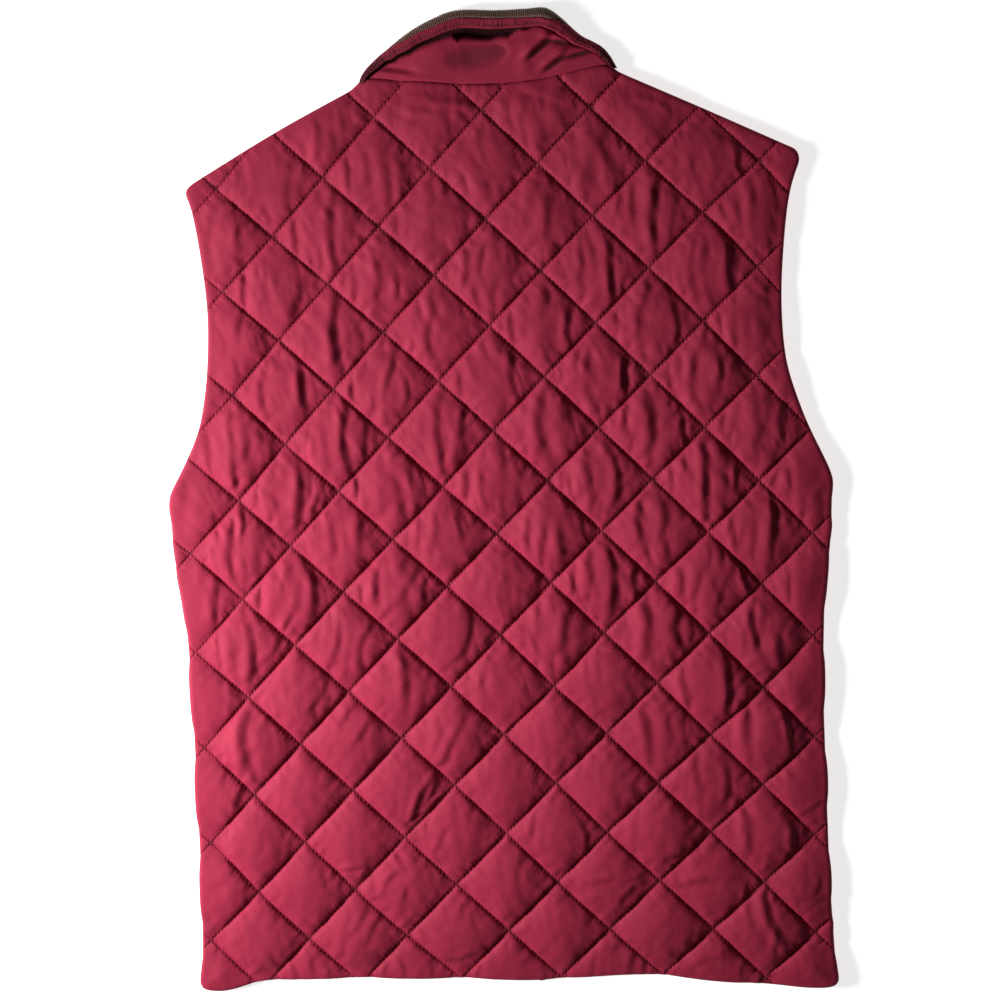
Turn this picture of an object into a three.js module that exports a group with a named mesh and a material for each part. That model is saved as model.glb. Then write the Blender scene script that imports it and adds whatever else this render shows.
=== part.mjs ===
import * as THREE from 'three';

// A quilted vest laid flat on its front, with its back upwards and its collar towards +Y
// Millimetres, Z up, the resting face at Z 0, X 0 and Y 0 in the middle of the outline

// Diamond quilting, given by half the diagonal of a diamond and one crossing of its lines
const quiltHalfPitch = 40.4;
const quiltCrossing = { x: -44, y: 190 };
const quiltSide = quiltHalfPitch * Math.SQRT2;
const cellsPerDiamondSide = 5;
const pillowFullness = 0.62;
const quiltReach = 620;

// Walls from the resting face upwards
const frontThickness = 5;
const seamGap = 0.3;
const backInside = frontThickness + seamGap;
const stitchedThickness = 2.2;
const crownRise = 6.6;
const pillowFadeWidth = 30;
const pillowAtEdge = 0.42;

// Outline of the back, a row for each height, left and right as seen from above
const sideRows = [
  { y: -340, left: -254.5, right: 254 },
  { y: -290, left: -252.5, right: 251.5 },
  { y: -215, left: -251.5, right: 249.5 },
  { y: -136, left: -250.5, right: 248 },
  { y: -60, left: -252, right: 250 },
  { y: -28, left: -257, right: 254 },
  { y: 0, left: -258, right: 255.5 },
];
const armpit = { y: 27, left: -257.5, right: 256 };
const armholeRows = [
  { y: 45, left: -247, right: 248 },
  { y: 64, left: -237, right: 239 },
  { y: 84, left: -229, right: 231 },
  { y: 120, left: -222, right: 220.5 },
  { y: 165, left: -218.5, right: 217.5 },
  { y: 211, left: -221, right: 220 },
  { y: 248, left: -226, right: 225 },
];
const shoulderTips = { left: { x: -231.5, y: 263 }, right: { x: 234.5, y: 275.5 } };
const neckPoints = { left: { x: -84, y: 340.5 }, right: { x: 86, y: 345 } };
const shoulderBow = { left: 2.4, right: 0.4 };
const neckRows = [
  { x: -48, y: 337.4 },
  { x: -22, y: 334.8 },
  { x: 6, y: 333.8 },
  { x: 36, y: 335.4 },
  { x: 62, y: 340.4 },
];
const hemRows = [
  { x: -257, y: -378.5 },
  { x: -236, y: -380 },
  { x: -200, y: -372.5 },
  { x: -135, y: -372 },
  { x: -40, y: -374.5 },
  { x: 25, y: -377 },
  { x: 93, y: -374 },
  { x: 166, y: -382 },
  { x: 225, y: -388 },
  { x: 257, y: -389 },
];
const cornerSoftening = 10;
const outlineStep = 2;
const edgeSpacing = 9;
const frontSpacing = 15;
const sideScallop = 2.2;
const hemScallop = 0.9;
const scallopWidth = 9;

// Rounded edge of the back: inset from the outline and share of the wall's height there
const backEdgeRows = [
  { inset: 5, height: 1 },
  { inset: 2.2, height: 0.88 },
  { inset: 0.5, height: 0.6 },
  { inset: 0, height: 0.3 },
  { inset: 0.6, height: 0 },
];

// Largest folds of the back, soft troughs that run up and down the diamonds
const backFolds = [
  { x: -122, y: 153, angle: 92, length: 46, width: 9, depth: 2.2 },
  { x: -124, y: 76, angle: 88, length: 40, width: 9, depth: 1.8 },
  { x: -201, y: -8, angle: 86, length: 44, width: 10, depth: 1.8 },
  { x: -204, y: -162, angle: 92, length: 48, width: 9, depth: 1.8 },
  { x: 161, y: 28, angle: 84, length: 44, width: 9, depth: 2 },
  { x: 187, y: -35, angle: 95, length: 40, width: 9, depth: 1.8 },
  { x: 120, y: -97, angle: 90, length: 40, width: 9, depth: 1.6 },
  { x: 121, y: -175, angle: 97, length: 44, width: 9, depth: 1.8 },
  { x: 200, y: -173, angle: 86, length: 42, width: 9, depth: 1.8 },
  { x: -64, y: -215, angle: 40, length: 34, width: 9, depth: 1.4 },
  { x: 139, y: -295, angle: 8, length: 40, width: 9, depth: 1.6 },
  { x: 226, y: -318, angle: 20, length: 34, width: 9, depth: 1.6 },
];

// Fronts, set in under the edge of the back, with a deeper armhole and a lower neck
const frontInset = 1;
const frontArmholeDepth = 14;
const frontNeckY = 262;
const frontNeckDrop = 2.5;
const frontEdgeRows = [
  { inset: 4, z: 0 },
  { inset: 1.2, z: 1.3 },
  { inset: 0.2, z: 3.4 },
  { inset: 0.6, z: frontThickness },
];
const neckSteps = 14;

// Front opening: two overlapping bands with press studs between them
const placketWidth = 30;
const placketThickness = 1.8;
const studRadius = 6;
const studThickness = 0.8;
const studCount = 5;
const firstStudY = -330;
const lastStudY = 232;
const studSegments = 20;

// Collar at the back of the neck: its roll line, from the left shoulder to the right one
const rollRows = [
  { x: -94, y: 339.5 },
  { x: -91, y: 345 },
  { x: -86, y: 350.5 },
  { x: -74, y: 361 },
  { x: -56, y: 374 },
  { x: -35, y: 384 },
  { x: -18, y: 388.6 },
  { x: 8, y: 387.6 },
  { x: 32, y: 388 },
  { x: 46, y: 388.2 },
  { x: 57, y: 381 },
  { x: 71, y: 367.6 },
  { x: 86, y: 358.4 },
  { x: 92, y: 352 },
  { x: 96, y: 345.5 },
];
const collarSeamGap = 0.5;
const collarEnds = { left: -80, right: 81 };
const collarStations = 30;
const collarWall = 1.4;
const collarLayerStep = 1.75;
const shellSeamZ = 6.5;
const usualRollRadius = 6;
const collarRows = [
  { share: 0, radius: 2.9, bottom: 2.4, liningEnd: -8, overhang: 0.4 },
  { share: 0.2, radius: 4.2, bottom: 1, liningEnd: 12, overhang: 1.4 },
  { share: 0.35, radius: 5.6, bottom: 0, liningEnd: 50, overhang: 4.2 },
  { share: 0.5, radius: 6, bottom: 0, liningEnd: 58, overhang: 5.2 },
  { share: 0.66, radius: 6, bottom: 0, liningEnd: 58, overhang: 4.8 },
  { share: 0.8, radius: 4.6, bottom: 0.8, liningEnd: 50, overhang: 1.6 },
  { share: 1, radius: 2.9, bottom: 2.4, liningEnd: 10, overhang: 0.8 },
];
const edgeThickness = 3.4;
const edgeGapAngle = 7;
const standPoints = 9;
const liningStandPoints = 4;
const rollPoints = 8;
const standSlopeShare = 0.8;

// Folds pushed up in the plain stand
const standFolds = [
  { x: 50, y: 362, angle: 14, length: 20, width: 5, rise: 1.7 },
  { x: 60, y: 350, angle: 20, length: 18, width: 5, rise: 1.5 },
  { x: -68, y: 344, angle: -8, length: 16, width: 5, rise: 0.9 },
  { x: -4, y: 356, angle: 12, length: 26, width: 7, rise: 1.1 },
];

// Rest of the collar, round the front neck
const frontCollarHeight = { middle: 45, end: 14 };
const frontCollarThickness = 3.2;
const frontCollarLast = 12;

// Colours
const crimson = 0xa8324b;
const corduroyBrown = 0x62503f;
const studGrey = 0x8a8784;

const quarterTurn = Math.PI / 2;
const radians = (degrees) => THREE.MathUtils.degToRad(degrees);
const mix = (a, b, share) => THREE.MathUtils.lerp(a, b, share);

// Curve through points, sampled evenly, without its last point
function sampleCurve(points, step) {
  const curve = new THREE.SplineCurve(points.map((p) => new THREE.Vector2(p.x, p.y)));
  const count = Math.max(1, Math.round(curve.getLength() / step));
  return curve.getSpacedPoints(count).slice(0, -1);
}

// Points of a side or an armhole taken from the rows of one column
function column(rows, name) {
  return rows.map((row) => ({ x: row[name], y: row.y }));
}

// Shoulder line from its tip to the neck, bowed outwards a little
function shoulderLine(tip, neck, bow) {
  const middle = { x: (tip.x + neck.x) / 2, y: (tip.y + neck.y) / 2 + bow };
  return [tip, middle, neck];
}

// Closed line smoothed over its neighbours, which rounds its corners
function softened(loop, passes) {
  let points = loop;
  for (let pass = 0; pass < passes; pass += 1) {
    points = points.map((p, i) => {
      const before = points[(i + points.length - 1) % points.length];
      const after = points[(i + 1) % points.length];
      return p.clone().multiplyScalar(2).add(before).add(after).divideScalar(4);
    });
  }
  return points;
}

// Closed line with points at even distances
function evenly(loop, spacing) {
  const path = new THREE.Path([...loop, loop[0].clone()]);
  const count = Math.round(path.getLength() / spacing);
  return path.getSpacedPoints(count).slice(0, count);
}

// Outward normals of an anticlockwise closed line
function outwardNormals(loop) {
  return loop.map((p, i) => {
    const before = loop[(i + loop.length - 1) % loop.length];
    const after = loop[(i + 1) % loop.length];
    const along = after.clone().sub(before).normalize();
    return new THREE.Vector2(along.y, -along.x);
  });
}

// Closed line moved inwards, by a share at each point
function movedIn(loop, inset, shares) {
  const normals = outwardNormals(loop);
  return loop.map((p, i) => p.clone().addScaledVector(normals[i], -inset * (shares ? shares[i] : 1)));
}

// Position in the quilting, a whole number on a line of each direction
function quiltPosition(x, y) {
  const across = (x - quiltCrossing.x) / quiltHalfPitch;
  const down = (quiltCrossing.y - y) / quiltHalfPitch;
  return { a: (across + down) / 2, b: (across - down) / 2 };
}

// Distance in the plane to the nearest quilting line
function distanceToQuilting(x, y) {
  const { a, b } = quiltPosition(x, y);
  return quiltSide * Math.min(Math.abs(a - Math.round(a)), Math.abs(b - Math.round(b)));
}

// Fullness of the padding between the quilting lines, 0 on a line and 1 on a crown
function pillow(x, y) {
  const { a, b } = quiltPosition(x, y);
  const u = a - Math.floor(a);
  const v = b - Math.floor(b);
  return (4 * u * (1 - u) * 4 * v * (1 - v)) ** pillowFullness;
}

// Weight of a fold at a point, 1 along its middle
function foldWeight(fold, x, y) {
  const turn = radians(fold.angle);
  const along = (x - fold.x) * Math.cos(turn) + (y - fold.y) * Math.sin(turn);
  const aside = (y - fold.y) * Math.cos(turn) - (x - fold.x) * Math.sin(turn);
  return Math.exp(-((2 * along / fold.length) ** 4) - (aside / fold.width) ** 2);
}

// Indexed geometry with outward faces
function solid(positions, triangles) {
  let volume = 0;
  const corner = triangles.map((t) => t.map((i) => new THREE.Vector3(...positions[i])));
  corner.forEach(([a, b, c]) => {
    volume += a.dot(b.clone().cross(c));
  });
  const facing = volume > 0 ? triangles : triangles.map(([a, b, c]) => [a, c, b]);
  const geometry = new THREE.BufferGeometry();
  geometry.setAttribute('position', new THREE.Float32BufferAttribute(positions.flat(), 3));
  geometry.setIndex(facing.flat());
  geometry.computeVertexNormals();
  return geometry;
}

// Faces between two closed rings of equal count
function bridge(first, second, count) {
  const faces = [];
  for (let i = 0; i < count; i += 1) {
    const next = (i + 1) % count;
    faces.push([first + i, first + next, second + next], [first + i, second + next, second + i]);
  }
  return faces;
}

// Flat face over a closed ring, wound as the ring or against it
function flatFace(ring, first, against) {
  const faces = THREE.ShapeUtils.triangulateShape(ring, []);
  return faces.map(([a, b, c]) => {
    const area = (ring[b].x - ring[a].x) * (ring[c].y - ring[a].y)
      - (ring[c].x - ring[a].x) * (ring[b].y - ring[a].y);
    const turned = (area < 0) !== against;
    return turned ? [first + a, first + c, first + b] : [first + a, first + b, first + c];
  });
}

// Plate with flat faces, from rows of inset and height, lowest first
function plate(loop, rows, shares) {
  const positions = [];
  const faces = [];
  rows.forEach((row, k) => {
    const ring = movedIn(loop, row.inset, shares);
    ring.forEach((p) => positions.push([p.x, p.y, row.z]));
    if (k === 0) {
      faces.push(...flatFace(ring, 0, true));
    } else {
      faces.push(...bridge((k - 1) * loop.length, k * loop.length, loop.length));
    }
    if (k === rows.length - 1) {
      faces.push(...flatFace(ring, k * loop.length, false));
    }
  });
  return solid(positions, faces);
}

// Whether a point lies inside a closed line
function inside(loop, x, y) {
  let crossings = 0;
  loop.forEach((p, i) => {
    const q = loop[(i + 1) % loop.length];
    if ((p.y > y) !== (q.y > y) && x < p.x + (q.x - p.x) * (y - p.y) / (q.y - p.y)) {
      crossings += 1;
    }
  });
  return crossings % 2 === 1;
}

// Shortest distance from a point to a closed line
function distanceToLoop(loop, x, y) {
  let nearest = Infinity;
  loop.forEach((p, i) => {
    const q = loop[(i + 1) % loop.length];
    const length2 = (q.x - p.x) ** 2 + (q.y - p.y) ** 2;
    const share = ((x - p.x) * (q.x - p.x) + (y - p.y) * (q.y - p.y)) / length2;
    const t = THREE.MathUtils.clamp(share, 0, 1);
    nearest = Math.min(nearest, Math.hypot(p.x + t * (q.x - p.x) - x, p.y + t * (q.y - p.y) - y));
  });
  return nearest;
}

// Circle through three points, as its middle and squared radius
function circleThrough(p, q, r) {
  const d = 2 * (p.x * (q.y - r.y) + q.x * (r.y - p.y) + r.x * (p.y - q.y));
  const pp = p.x ** 2 + p.y ** 2;
  const qq = q.x ** 2 + q.y ** 2;
  const rr = r.x ** 2 + r.y ** 2;
  const x = (pp * (q.y - r.y) + qq * (r.y - p.y) + rr * (p.y - q.y)) / d;
  const y = (pp * (r.x - q.x) + qq * (p.x - r.x) + rr * (q.x - p.x)) / d;
  return { x, y, radius2: (p.x - x) ** 2 + (p.y - y) ** 2 };
}

// Net of triangles over scattered points, with the widest smallest angles
function netOver(points) {
  const far = 1e4;
  const nudge = 1e-3;
  const all = points.map((p, i) => ({
    x: p.x + nudge * Math.sin(12.9 * i),
    y: p.y + nudge * Math.cos(78.2 * i),
  }));
  all.push({ x: -far, y: -far }, { x: far, y: -far }, { x: 0, y: far });
  const n = points.length;
  let net = [{ corners: [n, n + 1, n + 2], circle: circleThrough(all[n], all[n + 1], all[n + 2]) }];
  for (let i = 0; i < n; i += 1) {
    const p = all[i];
    const edges = new Map();
    const kept = [];
    net.forEach((triangle) => {
      const { circle, corners } = triangle;
      if ((p.x - circle.x) ** 2 + (p.y - circle.y) ** 2 >= circle.radius2) {
        kept.push(triangle);
        return;
      }
      corners.forEach((corner, k) => {
        const next = corners[(k + 1) % 3];
        if (!edges.delete(`${next}_${corner}`)) {
          edges.set(`${corner}_${next}`, [corner, next]);
        }
      });
    });
    edges.forEach(([a, b]) => {
      kept.push({ corners: [a, b, i], circle: circleThrough(all[a], all[b], p) });
    });
    net = kept;
  }
  return net.map((triangle) => triangle.corners).filter((corners) => Math.max(...corners) < n);
}

// Outline of the back, anticlockwise from the left corner of its hem
const outlineCorners = {
  hemLeft: hemRows[0],
  hemRight: hemRows[hemRows.length - 1],
  pitLeft: { x: armpit.left, y: armpit.y },
  pitRight: { x: armpit.right, y: armpit.y },
};
const rightSide = [outlineCorners.hemRight, ...column(sideRows, 'right'), outlineCorners.pitRight];
const leftSide = [outlineCorners.hemLeft, ...column(sideRows, 'left'), outlineCorners.pitLeft];
const rightArmhole = [outlineCorners.pitRight, ...column(armholeRows, 'right'), shoulderTips.right];
const leftArmhole = [outlineCorners.pitLeft, ...column(armholeRows, 'left'), shoulderTips.left];
const rightShoulder = shoulderLine(shoulderTips.right, neckPoints.right, shoulderBow.right);
const leftShoulder = shoulderLine(shoulderTips.left, neckPoints.left, shoulderBow.left);
const neckSeam = [neckPoints.left, ...neckRows, neckPoints.right];

const sharpOutline = [
  hemRows,
  rightSide,
  rightArmhole,
  rightShoulder,
  [...neckSeam].reverse(),
  [...leftShoulder].reverse(),
  [...leftArmhole].reverse(),
  [...leftSide].reverse(),
].flatMap((points) => sampleCurve(points, outlineStep));
const smoothOutline = softened(sharpOutline, cornerSoftening);
const plainOutline = evenly(smoothOutline, edgeSpacing);

// Outline drawn in where the quilting lines pull on a side or the hem
const outlineNormals = outwardNormals(plainOutline);
const backOutline = plainOutline.map((p, i) => {
  const onSide = p.y < armpit.y && Math.abs(outlineNormals[i].x) > Math.SQRT1_2;
  const onHem = outlineNormals[i].y < -Math.SQRT1_2;
  const pull = (onSide ? sideScallop : 0) + (onHem ? hemScallop : 0);
  const weight = Math.exp(-((distanceToQuilting(p.x, p.y) / scallopWidth) ** 2));
  return p.clone().addScaledVector(outlineNormals[i], -pull * weight);
});

// Top of the padded back over its plain inside
function backTop(x, y) {
  const edge = distanceToLoop(plainOutline, x, y);
  const inward = THREE.MathUtils.smoothstep(edge, 0, pillowFadeWidth);
  const full = pillow(x, y);
  let rise = crownRise * full * mix(pillowAtEdge, 1, inward);
  backFolds.forEach((fold) => {
    rise -= fold.depth * foldWeight(fold, x, y) * Math.min(1, 2 * full);
  });
  return backInside + stitchedThickness + Math.max(0, rise);
}

// Padded back: a net along the quilting lines inside a rounded edge
function buildBack() {
  const rings = backEdgeRows.map((row) => movedIn(backOutline, row.inset));
  const rim = rings[0];
  const points = [...rim];
  const step = quiltHalfPitch / cellsPerDiamondSide;
  const clear = 0.62 * step * Math.SQRT2;
  const reach = Math.ceil(quiltReach / step);
  for (let i = -reach; i <= reach; i += 1) {
    for (let j = -reach; j <= reach; j += 1) {
      const x = quiltCrossing.x + i * step;
      const y = quiltCrossing.y + j * step;
      if ((i + j) % 2 === 0 && inside(rim, x, y) && distanceToLoop(rim, x, y) > clear) {
        points.push(new THREE.Vector2(x, y));
      }
    }
  }
  const faces = netOver(points).filter((corners) => {
    const x = corners.reduce((sum, i) => sum + points[i].x, 0) / 3;
    const y = corners.reduce((sum, i) => sum + points[i].y, 0) / 3;
    return inside(rim, x, y);
  });
  const positions = points.map((p) => [p.x, p.y, backTop(p.x, p.y)]);
  const count = rim.length;
  let above = 0;
  backEdgeRows.slice(1).forEach((row, k) => {
    const first = positions.length;
    rings[k + 1].forEach((p, i) => {
      positions.push([p.x, p.y, mix(backInside, positions[i][2], row.height)]);
    });
    faces.push(...bridge(first, above, count));
    above = first;
  });
  faces.push(...flatFace(rings[rings.length - 1], above, true));
  return solid(positions, faces);
}

// Armhole of a front, cut deeper than the one of the back
function deeperArmhole(points, inward) {
  return points.map((p, i) => {
    const bulge = Math.sin(Math.PI * i / (points.length - 1));
    return { x: p.x + inward * frontArmholeDepth * bulge, y: p.y };
  });
}

// Points along half of the front neckline, from the placket to the neck point
function frontNeckline(side, neck) {
  const width = side * neck.x;
  const first = Math.asin(placketWidth / 2 / width);
  return Array.from({ length: neckSteps + 1 }, (_, k) => {
    const turn = mix(first, quarterTurn, k / neckSteps);
    return new THREE.Vector2(neck.x * Math.sin(turn), mix(frontNeckY, neck.y, 1 - Math.cos(turn)));
  });
}

// One front, with square edges along its placket and its neckline
function buildFront(side, hem, sideLine, armhole, shoulder, neck) {
  const neckline = frontNeckline(side, neck).reverse();
  const opening = sampleCurve([neckline[neckSteps], hem[0]], frontSpacing);
  const outer = [hem, sideLine, deeperArmhole(armhole, -side), shoulder]
    .flatMap((points) => sampleCurve(points, frontSpacing));
  const inner = [...neckline.slice(0, neckSteps), ...opening];
  const points = [...outer, ...inner];
  const shares = points.map((p, i) => (i === 0 || i >= outer.length ? 0 : 1));
  const loop = side > 0 ? points : [...points].reverse();
  const loopShares = side > 0 ? shares : [...shares].reverse();
  const set = movedIn(loop, frontInset, loopShares);
  set.forEach((p) => {
    p.x = side * Math.max(side * p.x, placketWidth / 2);
  });
  return plate(set, frontEdgeRows, loopShares);
}

// Height of the hem at the placket
const hemCurve = new THREE.SplineCurve(hemRows.map((p) => new THREE.Vector2(p.x, p.y)));
const hemSamples = hemCurve.getSpacedPoints(400);
function hemAt(x) {
  return hemSamples.reduce((best, p) => (Math.abs(p.x - x) < Math.abs(best.x - x) ? p : best)).y;
}

// Hem of one front, from the placket outwards
function frontHem(side) {
  const start = side * placketWidth / 2;
  const rows = hemRows.filter((p) => side * p.x > placketWidth / 2 + 5);
  const ordered = side > 0 ? rows : [...rows].reverse();
  return [{ x: start, y: hemAt(start) }, ...ordered];
}

// Band of the front opening
function buildPlacket(bottom) {
  const half = placketWidth / 2 - seamGap;
  const hem = hemAt(0) + frontInset + 1;
  const top = frontNeckY;
  const loop = [
    new THREE.Vector2(-half, hem),
    new THREE.Vector2(half, hem),
    new THREE.Vector2(half, top),
    new THREE.Vector2(-half, top),
  ];
  return plate(loop, [{ inset: 0, z: bottom }, { inset: 0, z: bottom + placketThickness }]);
}

// Press stud between the bands
function buildStud(y) {
  const geometry = new THREE.CylinderGeometry(studRadius, studRadius, studThickness, studSegments);
  geometry.rotateX(quarterTurn);
  geometry.translate(0, y, frontThickness / 2);
  return geometry;
}

// Rest of the collar, round one side of the front neck
function buildFrontCollar(side, neck) {
  const middle = new THREE.Vector2(side * seamGap / 2, frontNeckY);
  const line = [middle, ...frontNeckline(side, neck).slice(0, frontCollarLast + 1)];
  const outer = [];
  const inner = [];
  line.forEach((p, k) => {
    const before = line[Math.max(0, k - 1)];
    const after = line[Math.min(line.length - 1, k + 1)];
    const along = after.clone().sub(before).normalize();
    const normal = new THREE.Vector2(-along.y, along.x).multiplyScalar(side);
    const height = mix(frontCollarHeight.middle, frontCollarHeight.end, k / (line.length - 1));
    outer.push(p.clone().addScaledVector(normal, seamGap * 1.1));
    inner.push(p.clone().addScaledVector(normal, height));
  });
  outer[0].x = middle.x;
  inner[0].x = middle.x;
  const loop = [...outer, ...inner.reverse()];
  const rows = [{ inset: 0, z: 0 }, { inset: 0, z: frontCollarThickness }];
  return plate(side > 0 ? loop : loop.reverse(), rows);
}

// Stations of the collar from left to right: seam, direction to the roll, and sizes there
const seamCurve = new THREE.SplineCurve(neckSeam.map((p) => new THREE.Vector2(p.x, p.y)));
const rollCurve = new THREE.SplineCurve(rollRows.map((p) => new THREE.Vector2(p.x, p.y)));
const seamStart = (collarEnds.left - neckPoints.left.x) / (neckPoints.right.x - neckPoints.left.x);
const seamEnd = (collarEnds.right - neckPoints.left.x) / (neckPoints.right.x - neckPoints.left.x);
function collarStation(share) {
  const at = mix(seamStart, seamEnd, share);
  const seam = seamCurve.getPointAt(at);
  const along = seamCurve.getTangentAt(at);
  seam.add(new THREE.Vector2(-along.y, along.x).multiplyScalar(collarSeamGap));
  const roll = rollCurve.getPointAt(share);
  const out = roll.clone().sub(seam);
  const next = Math.max(1, collarRows.findIndex((row) => row.share >= share));
  const [before, after] = [collarRows[next - 1], collarRows[next]];
  const part = THREE.MathUtils.smoothstep(share, before.share, after.share);
  const size = (name) => mix(before[name], after[name], part);
  const radius = size('radius');
  return {
    seam,
    direction: out.clone().normalize(),
    radius,
    centreR: out.length() - radius - collarWall / 2,
    centreZ: size('bottom') + radius + collarWall / 2,
    endAngle: size('liningEnd'),
    overhang: size('overhang'),
  };
}

// Point of a station, at a distance from the seam and a height
function collarPoint(station, r, z) {
  const { seam, direction } = station;
  return [seam.x + direction.x * r, seam.y + direction.y * r, z];
}

// Closed section of a collar layer, from its lower side round to its upper side
function layerSection(station, level, count, folds) {
  const radius = station.radius - level * collarLayerStep;
  const start = shellSeamZ - (1 - level) * collarLayerStep;
  const low = station.centreZ - radius;
  const path = [];
  for (let k = 0; k < count; k += 1) {
    const share = k / count;
    const slope = THREE.MathUtils.smoothstep(share / standSlopeShare, 0, 1);
    path.push({ r: share * station.centreR, z: mix(start, low, slope) });
  }
  for (let k = 0; k < rollPoints; k += 1) {
    const turn = radians(mix(-90, station.endAngle, k / (rollPoints - 1)));
    path.push({ r: station.centreR + radius * Math.cos(turn), z: station.centreZ + radius * Math.sin(turn) });
  }
  const lower = [];
  const upper = [];
  path.forEach((p, k) => {
    const before = path[Math.max(0, k - 1)];
    const after = path[Math.min(path.length - 1, k + 1)];
    const length = Math.hypot(after.r - before.r, after.z - before.z);
    const normal = { r: -(after.z - before.z) / length, z: (after.r - before.r) / length };
    const half = collarWall / 2;
    lower.push(collarPoint(station, p.r - normal.r * half, p.z - normal.z * half));
    const top = collarPoint(station, p.r + normal.r * half, p.z + normal.z * half);
    if (folds && k < count) {
      folds.forEach((fold) => {
        top[2] += fold.rise * foldWeight(fold, top[0], top[1]);
      });
    }
    upper.push(top);
  });
  return [...lower, ...upper.reverse()];
}

// Closed section of the edge strip, round the roll and over the stand
function edgeSection(station) {
  const outer = station.radius + collarWall / 2 + 0.15;
  const inner = outer - edgeThickness;
  const first = station.endAngle + edgeGapAngle * usualRollRadius / station.radius;
  const steps = 5;
  const outside = [];
  const insideLine = [];
  for (let k = 0; k <= steps; k += 1) {
    const turn = radians(mix(first, 90, k / steps));
    const r = station.centreR;
    outside.push([r + outer * Math.cos(turn), station.centreZ + outer * Math.sin(turn)]);
    insideLine.push([r + inner * Math.cos(turn), station.centreZ + inner * Math.sin(turn)]);
  }
  const endR = station.centreR - station.overhang;
  const endTop = station.centreZ + outer;
  outside.push([endR + 0.9, endTop - 0.1]);
  outside.push([endR, endTop - 0.9]);
  insideLine.push([endR + 0.9, endTop - edgeThickness + 0.1]);
  insideLine.push([endR, endTop - edgeThickness + 0.9]);
  return [...outside, ...insideLine.reverse()].map(([r, z]) => collarPoint(station, r, z));
}

// Solid through closed sections, with flat ends
function loft(sections) {
  const count = sections[0].length;
  const positions = sections.flat();
  const faces = [];
  for (let k = 1; k < sections.length; k += 1) {
    faces.push(...bridge((k - 1) * count, k * count, count));
  }
  const capFaces = (section) => {
    const base = new THREE.Vector2(section[0][0], section[0][1]);
    const ends = section.map((p) => new THREE.Vector2(p[0], p[1]));
    const widest = ends.reduce((best, p) => (p.distanceTo(base) > best.distanceTo(base) ? p : best));
    const along = widest.clone().sub(base).normalize();
    const flat = section.map((p, i) => new THREE.Vector2(ends[i].clone().sub(base).dot(along), p[2]));
    const clockwise = THREE.ShapeUtils.area(flat) < 0;
    return flatFace(flat, 0, clockwise);
  };
  faces.push(...capFaces(sections[0]).map(([a, b, c]) => [a, c, b]));
  const last = (sections.length - 1) * count;
  faces.push(...capFaces(sections[sections.length - 1]).map((f) => f.map((i) => i + last)));
  return solid(positions, faces);
}

const stations = Array.from({ length: collarStations + 1 }, (_, k) => collarStation(k / collarStations));

const group = new THREE.Group();
group.name = 'quilted_vest';
function add(name, geometry, color, roughness, metalness) {
  const material = new THREE.MeshStandardMaterial({ color, roughness, metalness });
  const mesh = new THREE.Mesh(geometry, material);
  mesh.name = name;
  group.add(mesh);
}
const clothRoughness = 0.6;

add('back_panel', buildBack(), crimson, clothRoughness, 0);
const neckLeft = { x: neckPoints.left.x, y: neckPoints.left.y - frontNeckDrop };
const neckRight = { x: neckPoints.right.x, y: neckPoints.right.y - frontNeckDrop };
const shoulderLeft = shoulderLine(shoulderTips.left, neckLeft, shoulderBow.left);
const shoulderRight = shoulderLine(shoulderTips.right, neckRight, shoulderBow.right);
const leftFront = buildFront(-1, frontHem(-1), leftSide, leftArmhole, shoulderLeft, neckLeft);
const rightFront = buildFront(1, frontHem(1), rightSide, rightArmhole, shoulderRight, neckRight);
add('front_left', leftFront, crimson, clothRoughness, 0);
add('front_right', rightFront, crimson, clothRoughness, 0);
add('placket_left', buildPlacket(0), crimson, clothRoughness, 0);
add('placket_right', buildPlacket(frontThickness - placketThickness), crimson, clothRoughness, 0);
for (let k = 0; k < studCount; k += 1) {
  add(`stud_${k + 1}`, buildStud(mix(firstStudY, lastStudY, k / (studCount - 1))), studGrey, 0.35, 1);
}
add('collar_front_left', buildFrontCollar(-1, neckLeft), crimson, clothRoughness, 0);
add('collar_front_right', buildFrontCollar(1, neckRight), crimson, clothRoughness, 0);
const shellSections = stations.map((s) => layerSection(s, 1, standPoints, standFolds));
const liningSections = stations.map((s) => layerSection(s, 0, liningStandPoints, null));
add('collar_shell', loft(shellSections), crimson, clothRoughness, 0);
add('collar_lining', loft(liningSections), corduroyBrown, 0.9, 0);
add('collar_edge', loft(stations.map((s) => edgeSection(s))), crimson, clothRoughness, 0);

export default group;
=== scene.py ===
import math

import bmesh
import bpy
import numpy as np
from mathutils import Matrix, Vector
from mathutils.kdtree import KDTree


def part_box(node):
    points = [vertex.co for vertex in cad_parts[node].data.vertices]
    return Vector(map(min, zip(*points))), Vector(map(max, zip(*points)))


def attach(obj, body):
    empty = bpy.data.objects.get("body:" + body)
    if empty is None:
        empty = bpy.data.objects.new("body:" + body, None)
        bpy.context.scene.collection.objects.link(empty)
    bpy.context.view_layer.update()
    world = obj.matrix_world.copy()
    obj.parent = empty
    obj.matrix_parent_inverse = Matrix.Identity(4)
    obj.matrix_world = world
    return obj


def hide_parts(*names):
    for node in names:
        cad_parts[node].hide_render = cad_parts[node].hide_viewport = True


bl_info = {
    "name": "Quilted Vest",
    "version": (1, 0, 0),
    "blender": (4, 5, 0),
    "location": "View3D > Sidebar > Vest",
    "description": "Dresses the solids of a quilted vest that lies flat with its back upwards",
    "category": "Add Mesh",
}

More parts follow.
